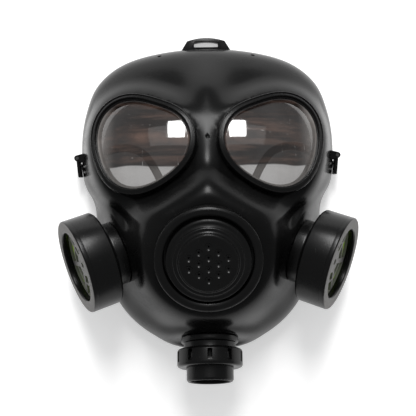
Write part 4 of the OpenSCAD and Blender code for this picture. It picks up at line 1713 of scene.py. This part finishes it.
@dataclass
class Studio:
    """The floor, the lamps, the light all round and the camera."""

    camera_height: float = 0.620
    camera_y: float = -0.0008
    camera_roll: float = -0.75
    focal: float = 70.6
    floor_size: float = 8.0
    floor_drop: float = 0.0002
    floor_tone: Colour = (0.90, 0.895, 0.89, 1.0)
    floor_glow: float = 0.42
    air_tone: Colour = (0.97, 0.985, 1.0, 1.0)
    air_light: float = 0.33
    lamps: tuple[SoftLamp, ...] = (
        SoftLamp("window_lamp", (0.0, 1.62, 1.56), (0.56, 1.16), 48.0),
        SoftLamp("soft_panel", (0.0, 1.9, 2.6), (3.0, 2.0), 12.0),
    )

    @staticmethod
    def seen(g: Graph) -> Signal:
        """Where the camera, a reflection or a see-through part looks, as 0 or 1.

        Args:
            g: The graph that it is for.

        Returns:
            The mask.
        """
        kinds = ("Is Camera Ray", "Is Glossy Ray", "Is Transmission Ray")
        camera, glossy, through = (g.node("ShaderNodeLightPath", output=kind) for kind in kinds)
        return g.maths("MAXIMUM", g.maths("MAXIMUM", camera, glossy), through)

    def world(self) -> None:
        """An even, pale light all round."""
        world = bpy.data.worlds.new("studio_world")
        bpy.context.scene.world = world
        world.use_nodes = True
        shine = world.node_tree.nodes["Background"]
        shine.inputs["Color"].default_value = self.air_tone
        shine.inputs["Strength"].default_value = self.air_light

    def floor(self) -> None:
        """A pale floor that keeps the mask's soft shadow."""
        bm = bmesh.new()
        bmesh.ops.create_grid(bm, x_segments=1, y_segments=1, size=self.floor_size / 2)
        bmesh.ops.translate(bm, verts=bm.verts, vec=(0, 0, -self.floor_drop))
        made = Bench.loose(bm, "studio_floor")
        g = Graph("floor_white")
        plain = g.node("ShaderNodeBsdfDiffuse", None, {"Color": self.floor_tone})
        glow = g.node("ShaderNodeEmission", None, {"Color": grey(1.0), "Strength": self.floor_glow})
        nothing = g.node("ShaderNodeEmission", None, {"Strength": 0.0})
        lit = g.node("ShaderNodeMixShader", None, {0: self.seen(g), 1: nothing, 2: glow})
        g.node_out(g.node("ShaderNodeAddShader", None, {0: plain, 1: lit}))
        made.data.materials.append(g.material)

    def camera(self) -> None:
        """The camera straight over the mask."""
        data = bpy.data.cameras.new("camera")
        data.sensor_width, data.lens, data.clip_start, data.clip_end = 36.0, self.focal, 0.01, 50.0
        camera = bpy.data.objects.new("camera", data)
        camera.location = (0.0, self.camera_y, self.camera_height)
        camera.rotation_euler = (0.0, 0.0, math.radians(self.camera_roll))
        bpy.context.scene.collection.objects.link(camera)
        bpy.context.scene.camera = camera

    def build(self) -> None:
        """Sets up the studio."""
        self.world()
        self.floor()
        for lamp in self.lamps:
            lamp.make()
        self.camera()
        bpy.context.scene.view_settings.view_transform = "Standard"


def dress_parts(frame: dict[str, Any], finishes: Finishes) -> None:
    """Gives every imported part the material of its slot.

    Args:
        frame: The loaded frame.
        finishes: The materials.
    """
    for row in frame["record"]["subparts"]:
        part = frame["nodes"][row["node"]]
        part.data.materials.clear()
        part.data.materials.append(finishes[row["material_slot"]])


def corners(box: tuple[Vector, Vector]) -> list[list[float]]:
    """A box as plain lists of its lowest and its highest corner."""
    return [list(corner) for corner in box]


def main() -> None:
    """Builds the studio and every piece of the mask."""
    logging.basicConfig(level=logging.INFO, format="%(name)s: %(message)s")
    for spare in list(bpy.data.objects):
        bpy.data.objects.remove(spare)
    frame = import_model()
    Studio().build()
    finishes = Finishes()
    finishes.build()
    dress_parts(frame, finishes)
    bench = Bench(finishes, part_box("face_piece")[1].y / MM - TAB_END)
    FacePiece(bench).build()
    SpeechUnit(bench).build()
    Outlet(bench).build()
    for side in Side:
        Eyepiece(bench, side).build()
        Canister(bench, side).build()
        Buckle(bench, side).build()
    HeadStrap(bench).build()


if __name__ == "__main__":
    main()
